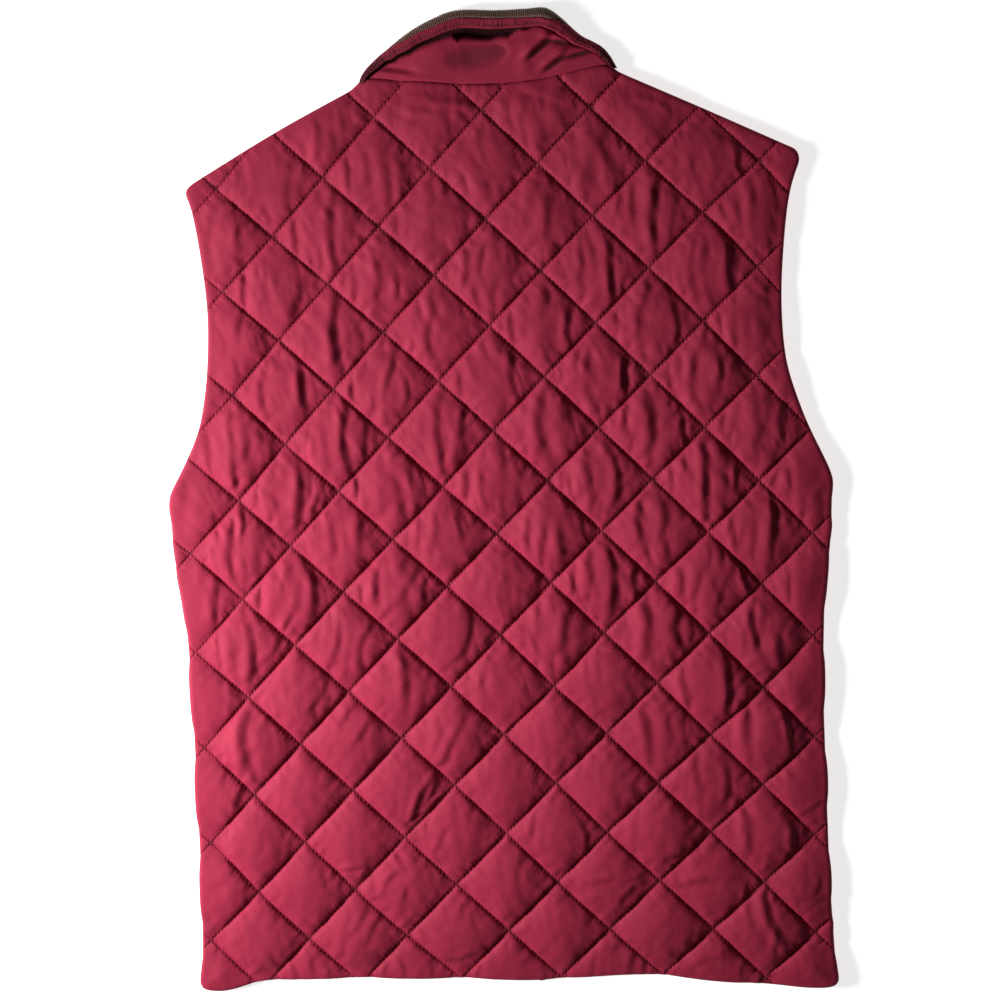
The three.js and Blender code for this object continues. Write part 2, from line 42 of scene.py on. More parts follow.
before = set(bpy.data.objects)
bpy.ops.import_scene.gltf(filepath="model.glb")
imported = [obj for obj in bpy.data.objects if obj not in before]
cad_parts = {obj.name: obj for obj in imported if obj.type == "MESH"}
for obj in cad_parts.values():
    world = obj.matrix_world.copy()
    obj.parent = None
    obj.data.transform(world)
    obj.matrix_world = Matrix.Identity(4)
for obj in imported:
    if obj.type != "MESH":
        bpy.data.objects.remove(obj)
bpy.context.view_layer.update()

MM = 0.001
MERGE = 0.002 * MM
NOISE_CELLS = 64

# Solid of the back: height of its inside, its thickness at a stitch line, the rows of its net
# that make its rim, and the rim's width
BACK_INSIDE = 5.3 * MM
STITCHED_THICKNESS = 2.2 * MM
BACK_RIM_ROWS = 4
BACK_RIM_INSET = 5 * MM

# Quilted back: shape of a pillow, and how flat it gets towards the outline and the shoulders
PILLOW_FULLNESS = 0.55
PILLOW_AT_EDGE = 0.42
PILLOW_FADE = 30 * MM
PLUMP_RANGE = 0.1
FLAT_SHARE = 0.75
FULL_SHARE = 1.08
FULL_RANGE = (-240 * MM, 40 * MM)
SEWN_FADE = 8 * MM
DEEPEST_DIP = 1.4 * MM

# Net of the back: its cuts, how far its points are drawn towards the stitch lines, and how often
# the outline and its direction are smoothed
NET_CUTS = 5
CELLS_A_SIDE = 30
NET_PULL = 0.45
NET_PULL_FADE = 16 * MM
OUTLINE_PASSES = 5
DIRECTION_PASSES = 4

# Rounded rim of the back: outwards from the net's border, and share of its height there
BACK_RIM = (
    (2.2, 0.97),
    (3.9, 0.83),
    (4.8, 0.6),
    (5.0, 0.35),
    (4.6, 0.1),
    (3.6, 0.0),
)

# Rounded rim of a front: outwards from its flat underside, and height
FRONT_RIM = (
    (1.8, 0.3),
    (3.0, 1.0),
    (3.7, 2.1),
    (3.8, 3.3),
    (3.5, 4.3),
    (2.8, 4.85),
    (2.0, 5.0),
)

# Gathers along a stitch line, as shares of a diamond's side: number, swing and half width
GATHERS_A_SIDE = 15
GATHER_SWING = 0.006
VALLEY_HALF_WIDTH = 0.03
# Painted shade of the stitch valleys: factors for red, green and blue
VALLEY_SHADE_FACTORS = (0.68, 0.28, 0.5)

# Bow of the quilting rows over the back's width
BOW_RISE = 3.3 * MM
BOW_DROP = 5.7 * MM
BOW_MIDDLE = 17 * MM
BOW_HALF = 210 * MM

# Places where the quilting lies out of its even rows, in mm: place, right, up, width
CLOTH_SHIFTS = (
    (-255, -50, 4.5, 0.5, 50),
    (-256, -170, 5.5, 4, 60),
    (-255, -265, 5.5, 6, 50),
    (-250, -345, 0, 3.5, 40),
    (-165, 240, 0, -3.8, 90),
    (-206, 280, 0, -2.2, 40),
    (-120, 95, 0, -2, 65),
    (-208, 105, 3, 0, 45),
    (-200, 20, 2.6, -2.4, 50),
    (-60, 18, 0, -2.2, 45),
    (-100, -315, -3, -2.8, 60),
    (45, -320, -2.4, -2.6, 90),
    (110, -225, -1.2, -1.4, 70),
    (200, -150, 1.8, -3.4, 60),
    (220, -330, 0, -3.4, 70),
    (172, 205, 2, 2.8, 50),
    (200, 278, 3.4, 0, 45),
    (192, -20, 2, -2, 42),
    (37, -130, 0, -2.4, 42),
    (242, -235, 0, -1.6, 50),
)
SHIFT_ROUNDS = 5

# Creases of the back, in mm and degrees: a trough with a ridge on its left or upper side
CREASES = (
    # x, y, angle, length, width, depth
    (-119, 228, 90, 50, 5, 2.3),
    (-147, 226, 90, 26, 4, 1.3),
    (-104, 270, 94, 34, 4, 1.3),
    (-88, 274, 90, 30, 4, 0.8),
    (-183, 265, 90, 30, 4.5, 1.1),
    (-150, 257, 88, 20, 4, 0.7),
    (-210, 236, 73, 46, 5, 1.5),
    (-190, 223, 90, 30, 4, 1.1),
    (-187, 185, 90, 36, 4.5, 1.5),
    (-145, 189, 90, 32, 4.5, 1.5),
    (-103, 187, 88, 30, 4.5, 1.4),
    (-84, 194, 92, 34, 4.5, 1.5),
    (-70, 187, 90, 20, 3.5, 1.0),
    (-70, 234, 90, 30, 4.5, 0.8),
    (-28, 315.5, -9, 46, 4, 1.2),
    (-45, 309, -2, 40, 4, 0.9),
    (-5, 263, -12, 20, 3, 0.8),
    (-5, 294, 90, 26, 4, 1.1),
    (-17, 201, 90, 36, 4.5, 1.3),
    (-7, 198, 88, 28, 3.5, 0.9),
    (-124, 298, 92, 30, 4.5, 1.1),
    (-106, 312, 90, 18, 3.5, 0.9),
    (-85, 324, 90, 22, 3.5, 1.1),
    (-4, 326, 90, 18, 3, 1.3),
    (70, 204, 92, 32, 4.5, 1.6),
    (91, 195, 90, 44, 4.5, 2.1),
    (108, 240, 90, 34, 4.5, 1.3),
    (124, 233, 86, 54, 5, 2.3),
    (98, 244, 90, 15, 3, 0.8),
    (152, 197, 88, 50, 4.5, 1.5),
    (181, 194, 90, 36, 5, 2.1),
    (199, 247, 102, 38, 4.5, 1.3),
    (174, 239, 90, 16, 3.5, 0.8),
    (48, 229, 90, 48, 5.5, 1.0),
    (154, 268, 90, 18, 5, 0.9),
    (188, 270, 90, 18, 4, 0.9),
    (62, 296, 0, 24, 3, 0.9),
    (90, 281, 109, 38, 6, 1.1),
    (122, 312, -21, 42, 4, 1.1),
    (48, 319, -15, 62, 3.5, 1.0),
    (45, 325, -6, 60, 3, 0.7),
    (118, 175, 90, 24, 4.5, 1.1),
    (201, 171, -34, 22, 3.5, 0.9),
    (-120, 150, 91, 64, 5.5, 2.5),
    (-194, 153, 84, 18, 4, 1.1),
    (-147, 110, 94, 38, 4.5, 2.2),
    (-178, 110, 86, 36, 4.5, 1.3),
    (-110, 108, 92, 22, 4, 1.4),
    (-79, 118, 70, 28, 4, 1.4),
    (-92, 98, 80, 26, 4, 0.9),
    (-66, 106, 94, 24, 3.5, 1.0),
    (-48, 146, 92, 34, 4.5, 1.5),
    (-62, 138, 80, 18, 3.5, 0.9),
    (-26, 108, 90, 26, 4, 0.9),
    (-204, 85, 90, 36, 4, 1.7),
    (-222, 64, 94, 34, 4.5, 1.7),
    (-202, 46, 92, 28, 4, 1.7),
    (-191, 68, 84, 24, 4, 1.1),
    (-140, 62, 88, 30, 4, 1.0),
    (-117, 70, 90, 60, 5, 2.4),
    (-99, 70, 84, 30, 4, 0.9),
    (-44, 72, 92, 50, 5, 1.4),
    (-26, 78, 80, 26, 4, 1.0),
    (-198, 9, 92, 28, 3.5, 1.9),
    (-210, -15, 86, 46, 5, 1.9),
    (-243, 28, 84, 40, 5, 0.9),
    (-152, 24, 84, 44, 5, 2.2),
    (-140, 22, 60, 26, 3.5, 1.1),
    (-172, 24, 118, 16, 4, 1.0),
    (-109, 27, 86, 24, 4, 1.1),
    (-75, 22, 92, 28, 4.5, 1.3),
    (-66, 38, 94, 20, 4, 0.9),
    (-24, 32, 88, 32, 4.5, 1.2),
    (-12, 30, 94, 24, 4, 1.1),
    (-60, -1, 88, 22, 4, 1.1),
    (-48, 3, 92, 26, 4, 1.1),
    (-30, -2, 96, 24, 4.5, 0.9),
    (-128, -8, 92, 40, 5, 1.3),
    (-108, -6, 86, 36, 4.5, 1.2),
    (14, 150, 94, 26, 4, 1.1),
    (57, 150, 90, 30, 4, 1.5),
    (94, 148, 84, 22, 3.5, 1.0),
    (111, 145, 92, 40, 5, 1.8),
    (141, 147, 90, 26, 4, 1.2),
    (14, 118, 90, 42, 5, 1.3),
    (70, 112, 92, 38, 4.5, 1.3),
    (98, 114, 88, 30, 3.5, 1.7),
    (132, 112, 94, 32, 4.5, 1.2),
    (151, 106, 92, 40, 5, 1.7),
    (172, 109, 84, 24, 3.5, 1.1),
    (35, 76, 92, 56, 6, 2.1),
    (98, 82, 86, 24, 4, 1.0),
    (121, 75, 90, 46, 6, 1.9),
    (143, 66, 100, 28, 4, 1.3),
    (150, 72, 88, 24, 3.5, 1.0),
    (204, 68, 66, 32, 4, 0.9),
    (172, 74, 86, 22, 3.5, 0.9),
    (217, 70, 96, 28, 3.5, 1.3),
    (160, 30, 90, 62, 5, 2.5),
    (143, 44, 102, 20, 3.5, 1.1),
    (133, 29, 92, 26, 4, 1.1),
    (93, 33, 91, 38, 4, 2.1),
    (72, 27, 94, 38, 4.5, 1.4),
    (48, 28, 100, 20, 3.5, 1.1),
    (40, 8, 2, 60, 2.2, 0.8),
    (183, 31, 88, 20, 3.5, 0.9),
    (213, 33, 78, 30, 4.5, 1.3),
    (108, -1, 91, 46, 5, 1.9),
    (128, 3, 92, 32, 4.5, 1.1),
    (211, -8, 88, 42, 4, 1.9),
    (178, -4, 104, 34, 4.5, 1.4),
    (22, -8, 86, 32, 4.5, 1.4),
    (34, -14, 84, 26, 4.5, 1.1),
    (48, -15, 92, 32, 5, 1.7),
    (-224, -58, 84, 36, 5, 1.3),
    (-190, -53, 84, 28, 4, 1.4),
    (-144, -50, 92, 38, 5, 2.2),
    (-165, -70, 62, 38, 3.5, 1.1),
    (-171, -50, 84, 26, 4, 0.9),
    (-110, -52, 92, 20, 3.5, 1.1),
    (-97, -43, 84, 34, 4.5, 1.7),
    (-72, -47, 58, 30, 3.5, 1.1),
    (-90, -68, 45, 20, 3.5, 1.0),
    (-61, -55, 92, 20, 3.5, 0.9),
    (-206, -88, 84, 24, 4.5, 0.9),
    (-195, -100, 86, 46, 5, 2.2),
    (-176, -93, 60, 32, 3.5, 0.9),
    (-131, -100, 68, 42, 3.5, 1.1),
    (-108, -88, 60, 26, 4, 1.4),
    (-28, -95, 66, 38, 4, 1.1),
    (-76, -122, 92, 48, 5.5, 2.0),
    (-16, -118, 78, 34, 4, 1.1),
    (-143, -132, 60, 32, 3.5, 1.1),
    (-206, -168, 88, 62, 7, 2.6),
    (-113, -165, 54, 32, 4, 1.3),
    (-128, -156, 60, 24, 4, 0.9),
    (-45, -180, 64, 46, 4.5, 1.5),
    (-52, -165, 88, 20, 4, 0.9),
    (-223, -196, 66, 22, 3.5, 1.1),
    (57, -50, 106, 34, 4.5, 1.3),
    (69, -38, 100, 28, 4.5, 1.3),
    (60, -64, 15, 15, 2.8, 1.0),
    (88, -50, 90, 48, 5, 2.0),
    (103, -52, 92, 30, 4, 1.1),
    (141, -54, 91, 48, 5.5, 1.4),
    (170, -60, 70, 26, 3.5, 0.9),
    (188, -48, 106, 38, 4, 1.9),
    (115, -85, 91, 56, 6.5, 2.2),
    (138, -100, 106, 28, 3.5, 1.1),
    (194, -88, 97, 50, 4.5, 2.2),
    (188, -103, 84, 20, 3.5, 1.1),
    (214, -105, 95, 26, 4.5, 1.5),
    (24, -97, 112, 18, 2.8, 1.1),
    (48, -88, 85, 36, 5, 1.1),
    (28, -80, 92, 30, 4.5, 0.9),
    (80, -105, -8, 28, 2.4, 0.8),
    (175, -130, 92, 48, 5, 2.2),
    (141, -135, 100, 46, 5, 1.7),
    (108, -150, 40, 14, 4, 1.0),
    (112, -172, 98, 50, 6, 2.0),
    (189, -170, 91, 46, 6.5, 2.1),
    (221, -170, 100, 46, 4, 1.7),
    (147, -200, 92, 30, 5.5, 1.4),
    (173, -218, 82, 28, 4.5, 1.3),
    (-213, -215, 60, 26, 4, 1.3),
    (-70, -220, 62, 40, 4, 2),
    (-61, -228, 52, 26, 3, 1.5),
    (-78, -238, 40, 20, 3, 1.4),
    (-59, -213, 58, 26, 3.5, 1.3),
    (-56, -256, 64, 28, 3.5, 1.1),
    (-128, -279, 5, 26, 3.5, 1.1),
    (-118, -284, 60, 16, 3.5, 0.9),
    (-92, -268, 128, 28, 3.5, 1.0),
    (-96, -286, 40, 22, 3.5, 1.0),
    (-87, -303, 72, 24, 3.5, 1.0),
    (-110, -305, 30, 18, 3.5, 0.9),
    (-122, -322, 58, 32, 3.5, 1.1),
    (-111, -326, 58, 30, 3.5, 1.0),
    (-243, -268, 58, 28, 4, 1.3),
    (-245, -288, -20, 26, 4, 1.3),
    (-231, -249, 48, 26, 3.5, 1.1),
    (-50, -358, 8, 28, 3.5, 0.9),
    (78, -294, -4, 42, 4, 1.1),
    (92, -304, 40, 22, 4, 1.1),
    (128, -283, 115, 14, 3, 1.0),
    (150, -296, 8, 42, 4.5, 1.9),
    (122, -277, 8, 20, 3.5, 1.1),
    (189, -251, 100, 46, 6, 2.0),
    (224, -262, 92, 28, 4.5, 1.5),
    (235, -240, 32, 28, 3.5, 1.1),
    (187, -320, 101, 32, 4.5, 1.2),
    (204, -326, 109, 56, 4.5, 2.2),
    (235, -314, -5, 30, 4, 1.4),
    (243, -303, 72, 16, 3.5, 1.1),
    (18, -243, 80, 30, 4, 0.9),
    (60, -252, 104, 22, 3.5, 0.9),
    (4, -292, 92, 26, 4, 1.0),
    (-178, -362, 115, 20, 3.5, 1.5),
    (-190, -358, 140, 18, 3.5, 1.2),
    (-163, -360, 100, 18, 3.5, 1.2),
    (-150, -364, 96, 14, 3, 1.0),
    (-104, -361, 74, 22, 3.5, 1.5),
    (-90, -362, 100, 18, 3.5, 1.1),
    (-67, -365, 92, 14, 3, 1.1),
    (-30, -366, 68, 16, 3.5, 1.2),
    (24, -370, 96, 14, 3, 1.1),
    (44, -367, 56, 16, 3.5, 1.1),
    (62, -364, 80, 20, 3.5, 1.3),
    (94, -362, 64, 22, 4, 1.6),
    (103, -366, 92, 16, 3, 1.1),
    (147, -366, 25, 22, 4.5, 1.4),
    (180, -374, 84, 14, 3, 0.9),
)

# Profile of a crease: its ridge and trough, taper, bend and the side folds of the long ones,
# whose place, length, width and depth are shares of the crease's own
CREASE_RIDGE = 1.0
CREASE_RIDGE_AWAY = 1.5
CREASE_SHARE = 0.68
CREASE_TAPER = 1.8
CREASE_WIDTH = 0.8
CREASE_SHARPNESS = 1.35
CREASE_BEND = 0.45
FORK_FROM = 24
FORK_ANGLE = 30
FORK_SHARES = (0.3, 0.5, 0.8, 0.4)

# Folds of the cloth between the creases, and the ripples and swells over them
FOLD_SIZE = 12 * MM
FOLD_STRETCH = 2.4
FOLD_SLANT = 0.3
SMALL_FOLD_SIZE = 0.5
SMALL_FOLD_SHARE = 0.4
FOLD_BASE = 0.5
FOLD_HEIGHT = 1.5 * MM
FOLD_WANDER = 6 * MM
FOLDS_AT_HEM = 0.35
FOLDED_RANGE = (-260 * MM, 60 * MM)
RIPPLE_HEIGHT = 0.3 * MM
RIPPLE_SIZE = 6 * MM
SWELL_HEIGHT = 0.9 * MM
SWELL_SIZE = 42 * MM

# Stitch lines: the groove, the gathers close to it and the wider ones beside it
GROOVE_DEPTH = 0.32 * MM
GROOVE_WIDTH = 1.6 * MM
UNEVEN_SIZE = 7 * MM
PUCKER_AWAY = 1.3 * MM
WIDE_PUCKER_SHARE = 2.3
WIDE_PUCKER_SIZE = 4.5 * MM
WIDE_PUCKER_START = 1.5 * MM
WIDE_PUCKER_AWAY = 7 * MM

# One stitch: share of its pitch that shows, how far it is followed each way, and its lift
STITCH_SHARE = 0.74
STITCH_REACH = 0.2
STITCH_LIFT = 0.1 * MM

# Corners of the back, in mm: place, how far each reaches right and up, and over which width
CORNERS = (
    (-88, 338, -4, 2.5, 9),
    (86, 345, 6, 1.5, 9),
    (-231, 263, -2.6, -0.4, 6),
    (234, 276, 2, 0.6, 6),
    (-257, -372, -1.6, 0, 5),
    (-237, -387, 0, -2.2, 7),
    (257, -386, 2.6, 1.4, 7),
)

# Collar: its seam and its roll line from the left shoulder to the right one, in mm
NECK_SEAM = ((-84, 340.5), (-48, 337.4), (-22, 334.8), (6, 333.8), (36, 335.4), (62, 340.4), (86, 345))
ROLL_LINE = (
    (-95, 336.6),
    (-93.5, 341),
    (-91, 345),
    (-86, 350.5),
    (-74, 361),
    (-56, 374),
    (-35, 384),
    (-18, 388.6),
    (8, 387.6),
    (32, 388),
    (46, 388.2),
    (57, 381),
    (71, 367.6),
    (86, 358.4),
    (92, 352),
    (96, 345.5),
    (98, 341.8),
)
COLLAR_ENDS = (-80, 81)
COLLAR_SEAM_GAP = -0.9 * MM
COLLAR_WALL = 1.4 * MM
COLLAR_LAYER_STEP = 1.75 * MM
SHELL_SEAM_Z = 6.5 * MM
STAND_SLOPE_SHARE = 0.8
STAND_RISE_SHARE = 0.6

# Grids that are wrapped round the collar's layers, and the share of the width that rounds their ends
STAND_GRID = (240, 120)
STAND_ROUNDING = 0.02
COLUMNS_A_RIB = 6
LINING_ROWS = 40
LINING_ROUNDING = 0.03
EDGE_ROWS = 26
EDGE_ROUNDING = 0.16
RELIEF_GROWTH = 0.6

# Corduroy: shape of a wale, how far it sways and wears, and the swell of the cloth
WALE_FULLNESS = 0.7
WALE_SWAY = 0.12
WALE_WEAR = 0.25
LINING_SWELL = 0.4 * MM

# Edge strip, its puckers, its turned ends and its topstitching
USUAL_ROLL_RADIUS = 6 * MM
EDGE_THICKNESS = 3.4 * MM
EDGE_PROUD = 0.15 * MM
EDGE_GAP_ANGLE = -3
EDGE_DROOP = 0.1
EDGE_SWELL = 0.5 * MM
UNDERSIDE_SHARE = 0.3
LEFT_END = (0.07, 0.2)
RIGHT_END = (0.88, 0.96)
END_SHADE = 0.5
TOPSTITCH_AT = 0.62
TOPSTITCH_SEAM = 0.1
TOPSTITCH_SUNK = 0.5 * MM
TOPSTITCH_PITCH = 2.4 * MM
TOPSTITCH_LENGTH = 1.7 * MM
TOPSTITCH_WIDTH = 0.45 * MM

# Sizes of the collar along its length: share, roll radius, underside, lining's end angle,
# overhang of the edge strip, slot beneath it, and height of the stand beside the slot
COLLAR_ROWS = (
    (0, 2.9, 2.4, -8, 0.6, 3, 6.6),
    (0.11, 3.8, 1.8, -2, 2, 4, 7),
    (0.16, 4.6, 1, 36, 3.6, 4.4, 7.4),
    (0.23, 5.4, 0.4, 68, 5.4, 5, 8),
    (0.35, 6, 0, 80, 6.6, 5.4, 8.8),
    (0.378, 6, 0, 80, 6.8, 5.6, 9),
    (0.4, 6, 0, 80, 6.8, 8.6, 9.2),
    (0.5, 6.2, 0, 82, 7, 8.8, 9.2),
    (0.57, 6.2, 0, 84, 7, 7.6, 9.2),
    (0.63, 6.3, 0, 86, 7, 2.6, 9),
    (0.7, 6.6, 0, 92, 6.8, 1.4, 8.6),
    (0.76, 5.8, 0.4, 54, 5.4, 1, 8),
    (0.8, 4.8, 0.8, 4, 4.2, 1, 7.6),
    (0.88, 3.6, 1.6, -8, 2.6, 1, 7),
    (1, 2.9, 2.4, -8, 1, 1, 6.6),
)
TUCK_WIDTH = 2.5
TUCK_SHADE = 0.85
TUCK_RANGE = (0.35, 0.8)
SLOT_SLOPE = 2.4 * MM

# Folds and dents of the plain stand, in mm and degrees: up is above 0, down below
STAND_FOLDS = (
    # x, y, angle, length, width, rise
    (38, 361.5, 40, 26, 2.8, 2.3),
    (59, 366, -8, 30, 2.6, 1.8),
    (41, 358, 38, 24, 2.2, -1.9),
    (60, 362, -8, 30, 2.2, -1.7),
    (50, 350.5, 34, 22, 2.6, 2),
    (68, 357, 12, 30, 2.6, 1.7),
    (52, 347, 33, 22, 2.2, -1.8),
    (70, 353, 12, 28, 2.2, -1.6),
    (-69, 343.5, -9, 34, 3, 1.2),
    (-66, 347.5, -9, 30, 2.6, -1),
    (-42, 355, 76, 60, 13, 1.4),
    (31, 351, 70, 24, 6, 1),
)

# Oval sag of the stand: middle, slant, half length, half height and depth at its right end
SAG = (-7, 354.5, 8, 26, 8.5, 2.6)
SAG_SHADE = 0.5
SAG_SHARPNESS = 2.5
SAG_ENDS = (0.6, 1.15)
SAG_SLOPE = (-1.15, 0.8)
STAND_SWELL = 0.3 * MM
STAND_SWELL_SIZE = 30 * MM
SEAM_FADE = 3 * MM
SLOT_FADE = 2 * MM
SLOT_SHADE_START = 0.6 * MM

# Fronts, bands of the opening and the rest of the collar
OPENING_HALF_WIDTH = 15.5 * MM
NECKLINE_HALF_WIDTH = 87 * MM
NECKLINE_BOTTOM = 256 * MM
FRONT_BORDER_CUTS = 7
LEVEL_NORMAL = 0.999
BAND_EDGE = 0.5 * MM
SHARP_EDGE = 1
FRONT_DIRECTION_PASSES = 6
FRONT_OUTLINE_PASSES = 10
FRONT_GROOVE_HALF_WIDTH = 1.2 * MM
FRONT_GROOVE_DEPTH = 0.8 * MM

# Wave texture: metres from one wave to the next at a scale of 1
WAVE_PITCH = 0.314

# Stage, in metres
FLOOR_HALF_WIDTH = 60
FLOOR_DROP = 0.1 * MM
KEY_PLACE = (-1.02, -0.03, 0.53)
KEY_AIM = (-0.08, -0.1, 0)
KEY_SIZE = 0.42
KEY_SPREAD = math.radians(110)
KEY_COLOUR = (1.0, 0.985, 0.96)
WHITE = (1.0, 1.0, 1.0, 1.0)
CAMERA_PLACE = (0.06256, 0.38658, 1.81896)
CAMERA_RIGHT = (0.99899, -0.03551, -0.02767)
CAMERA_UP = (0.02925, 0.97925, -0.20055)


def mix(first, second, share):
    """Value between two others."""
    return first + (second - first) * share


def smoothstep(value, low, high):
    """Smooth rise from 0 to 1 between two values."""
    share = np.clip((value - low) / (high - low), 0, 1)
    return share * share * (3 - 2 * share)


def linear(hex_colour):
    """Linear colour of an sRGB hex value."""
    parts = [int(hex_colour[i : i + 2], 16) / 255 for i in (0, 2, 4)]
    return tuple(c / 12.92 if c <= 0.04045 else ((c + 0.055) / 1.055) ** 2.4 for c in parts)


def soft_noise(x, y, size, seed):
    """Smooth random field from -1 to 1, with hills of a size."""
    heights = np.random.default_rng(seed).uniform(-1, 1, (NOISE_CELLS, NOISE_CELLS))
    i, j = np.floor(x / size).astype(int), np.floor(y / size).astype(int)
    fx, fy = x / size - i, y / size - j
    fx, fy = fx * fx * (3 - 2 * fx), fy * fy * (3 - 2 * fy)
    i, j, after_i, after_j = (k % NOISE_CELLS for k in (i, j, i + 1, j + 1))
    low = mix(heights[i, j], heights[after_i, j], fx)
    high = mix(heights[i, after_j], heights[after_i, after_j], fx)
    return mix(low, high, fy)


def along_and_aside(x, y, place_x, place_y, angle):
    """Distances from a place in mm, along a direction in degrees and to its left."""
    turn = math.radians(angle)
    right, up = x - place_x * MM, y - place_y * MM
    return right * math.cos(turn) + up * math.sin(turn), up * math.cos(turn) - right * math.sin(turn)


# User's values


def size_value(name, description, default):
    """A length that the user can change."""
    return bpy.props.FloatProperty(
        name=name, description=description, default=default, unit="LENGTH", precision=5
    )


def colour_value(name, description, hex_colour):
    """A colour that the user can change."""
    return bpy.props.FloatVectorProperty(
        name=name, description=description, default=linear(hex_colour), subtype="COLOR"
    )


class VestQuilting(bpy.types.PropertyGroup):
    """Sizes of the diamond quilting."""

    half_pitch: size_value("Half diagonal", "Half of a diamond's diagonal", 40.4 * MM)
    crossing_x: size_value("Crossing X", "Place of one crossing of the quilting lines", -44 * MM)
    crossing_y: size_value("Crossing Y", "Place of one crossing of the quilting lines", 190 * MM)
    crown_rise: size_value("Crown rise", "Height of a full pillow over its stitch lines", 6.4 * MM)
    pucker: size_value("Pucker", "Height of the small puckers along the stitch lines", 0.5 * MM)
    stitch_pitch: size_value("Stitch pitch", "Length of one stitch with its gap", 3 * MM)
    thread_width: size_value("Thread width", "Thickness of the quilting thread", 0.5 * MM)


class VestCollar(bpy.types.PropertyGroup):
    """Sizes of the collar's cloths."""

    wale_pitch: size_value("Wale pitch", "Distance between two wales of the corduroy", 1.6 * MM)
    wale_depth: size_value("Wale depth", "Depth of the grooves between the wales", 0.85 * MM)
    rib_pitch: size_value("Rib pitch", "Distance between two puckers of the edge strip", 3.3 * MM)
    rib_depth: size_value("Rib depth", "Depth of the puckers of the edge strip", 0.5 * MM)


class VestColours(bpy.types.PropertyGroup):
    """Colours of the cloths, the thread and the studs."""

    shell: colour_value("Shell cloth", "Crimson of the polyester shell", "9B213F")
    thread: colour_value("Thread", "Crimson of the quilting thread", "7E1B33")
    corduroy: colour_value("Corduroy", "Brown of the collar's lining", "5E4238")
    stud: colour_value("Stud metal", "Grey of the nickel-plated press studs", "B4B0AB")


class VestStage(bpy.types.PropertyGroup):
    """Light and camera."""

    key_power: bpy.props.FloatProperty(
        name="Key light",
        description="Power of the soft light at the left",
        default=10.6,
        unit="POWER",
    )
    fill_strength: bpy.props.FloatProperty(
        name="Fill",
        description="Strength of the even light from all around",
        default=0.06,
    )
    floor_glow: bpy.props.FloatProperty(
        name="Floor glow",
        description="Light of the floor's own, which keeps its shadows pale",
        default=0.75,
    )
    lens: bpy.props.FloatProperty(
        name="Lens",
        description="Focal length of the camera in millimetres",
        default=86.4,
    )


# Materials


def add_node(tree, kind, output, inputs=None, ramp=(), **settings):
    """Adds a node with its settings, links and ramp colours, and returns one of its outputs."""
    node = tree.nodes.new("ShaderNode" + kind)
    for name, value in settings.items():
        setattr(node, name, value)
    for key, value in (inputs or {}).items():
        if isinstance(value, bpy.types.NodeSocket):
            tree.links.new(value, node.inputs[key])
        else:
            node.inputs[key].default_value = value
    for i, colour in enumerate(ramp):
        node.color_ramp.elements[i].color = colour
    return None if output is None else node.outputs[output]


def material_once(name, finish, value):
    """Material of a name, made on its first use from the shader's inputs that a finish gives."""
    material = bpy.data.materials.get(name)
    if material:
        return material
    material = bpy.data.materials.new(name)
    material.use_nodes = True
    tree = material.node_tree
    tree.nodes.clear()
    place = add_node(tree, "TexCoord", "Object")
    shader = add_node(tree, "BsdfPrincipled", "BSDF", finish(tree, place, value))
    add_node(tree, "OutputMaterial", None, {"Surface": shader})
    return material


def shade(colour, factor):
    """Colour made lighter or darker, by one factor or by one for each channel, as a node colour."""
    return tuple(np.minimum(1, np.array(colour[:3]) * factor)) + (1.0,)


def stitch_valleys(tree):
    """Depth of the narrow valleys along the quilting lines, with the zigzag of their gathers.

    Attribute quilt_place holds the place in the quilting, half past a whole number on a line."""
    stored = add_node(tree, "Attribute", "Vector", attribute_name="quilt_place")
    parts = add_node(tree, "SeparateXYZ", "X", {"Vector": stored}).node.outputs
    valleys = []
    for across, along in (("X", "Y"), ("Y", "X")):
        turns = {0: parts[along], 1: 2 * math.pi * GATHERS_A_SIDE}
        beat = add_node(tree, "Math", "Value", turns, operation="MULTIPLY")
        swing = add_node(tree, "Math", "Value", {0: beat}, operation="SINE")
        swung = {0: swing, 1: GATHER_SWING, 2: parts[across]}
        centred = add_node(tree, "Math", "Value", swung, operation="MULTIPLY_ADD")
        # Whole numbers lie halfway between two lines, so the distance from one falls towards a line
        away = add_node(tree, "Math", "Value", {0: centred, 1: 0.5}, operation="PINGPONG")
        band = {"Value": away, "From Min": 0.5 - VALLEY_HALF_WIDTH, "From Max": 0.5}
        valleys.append(add_node(tree, "MapRange", "Result", band, interpolation_type="SMOOTHSTEP"))
    return add_node(tree, "Math", "Value", {0: valleys[0], 1: valleys[1]}, operation="MAXIMUM")


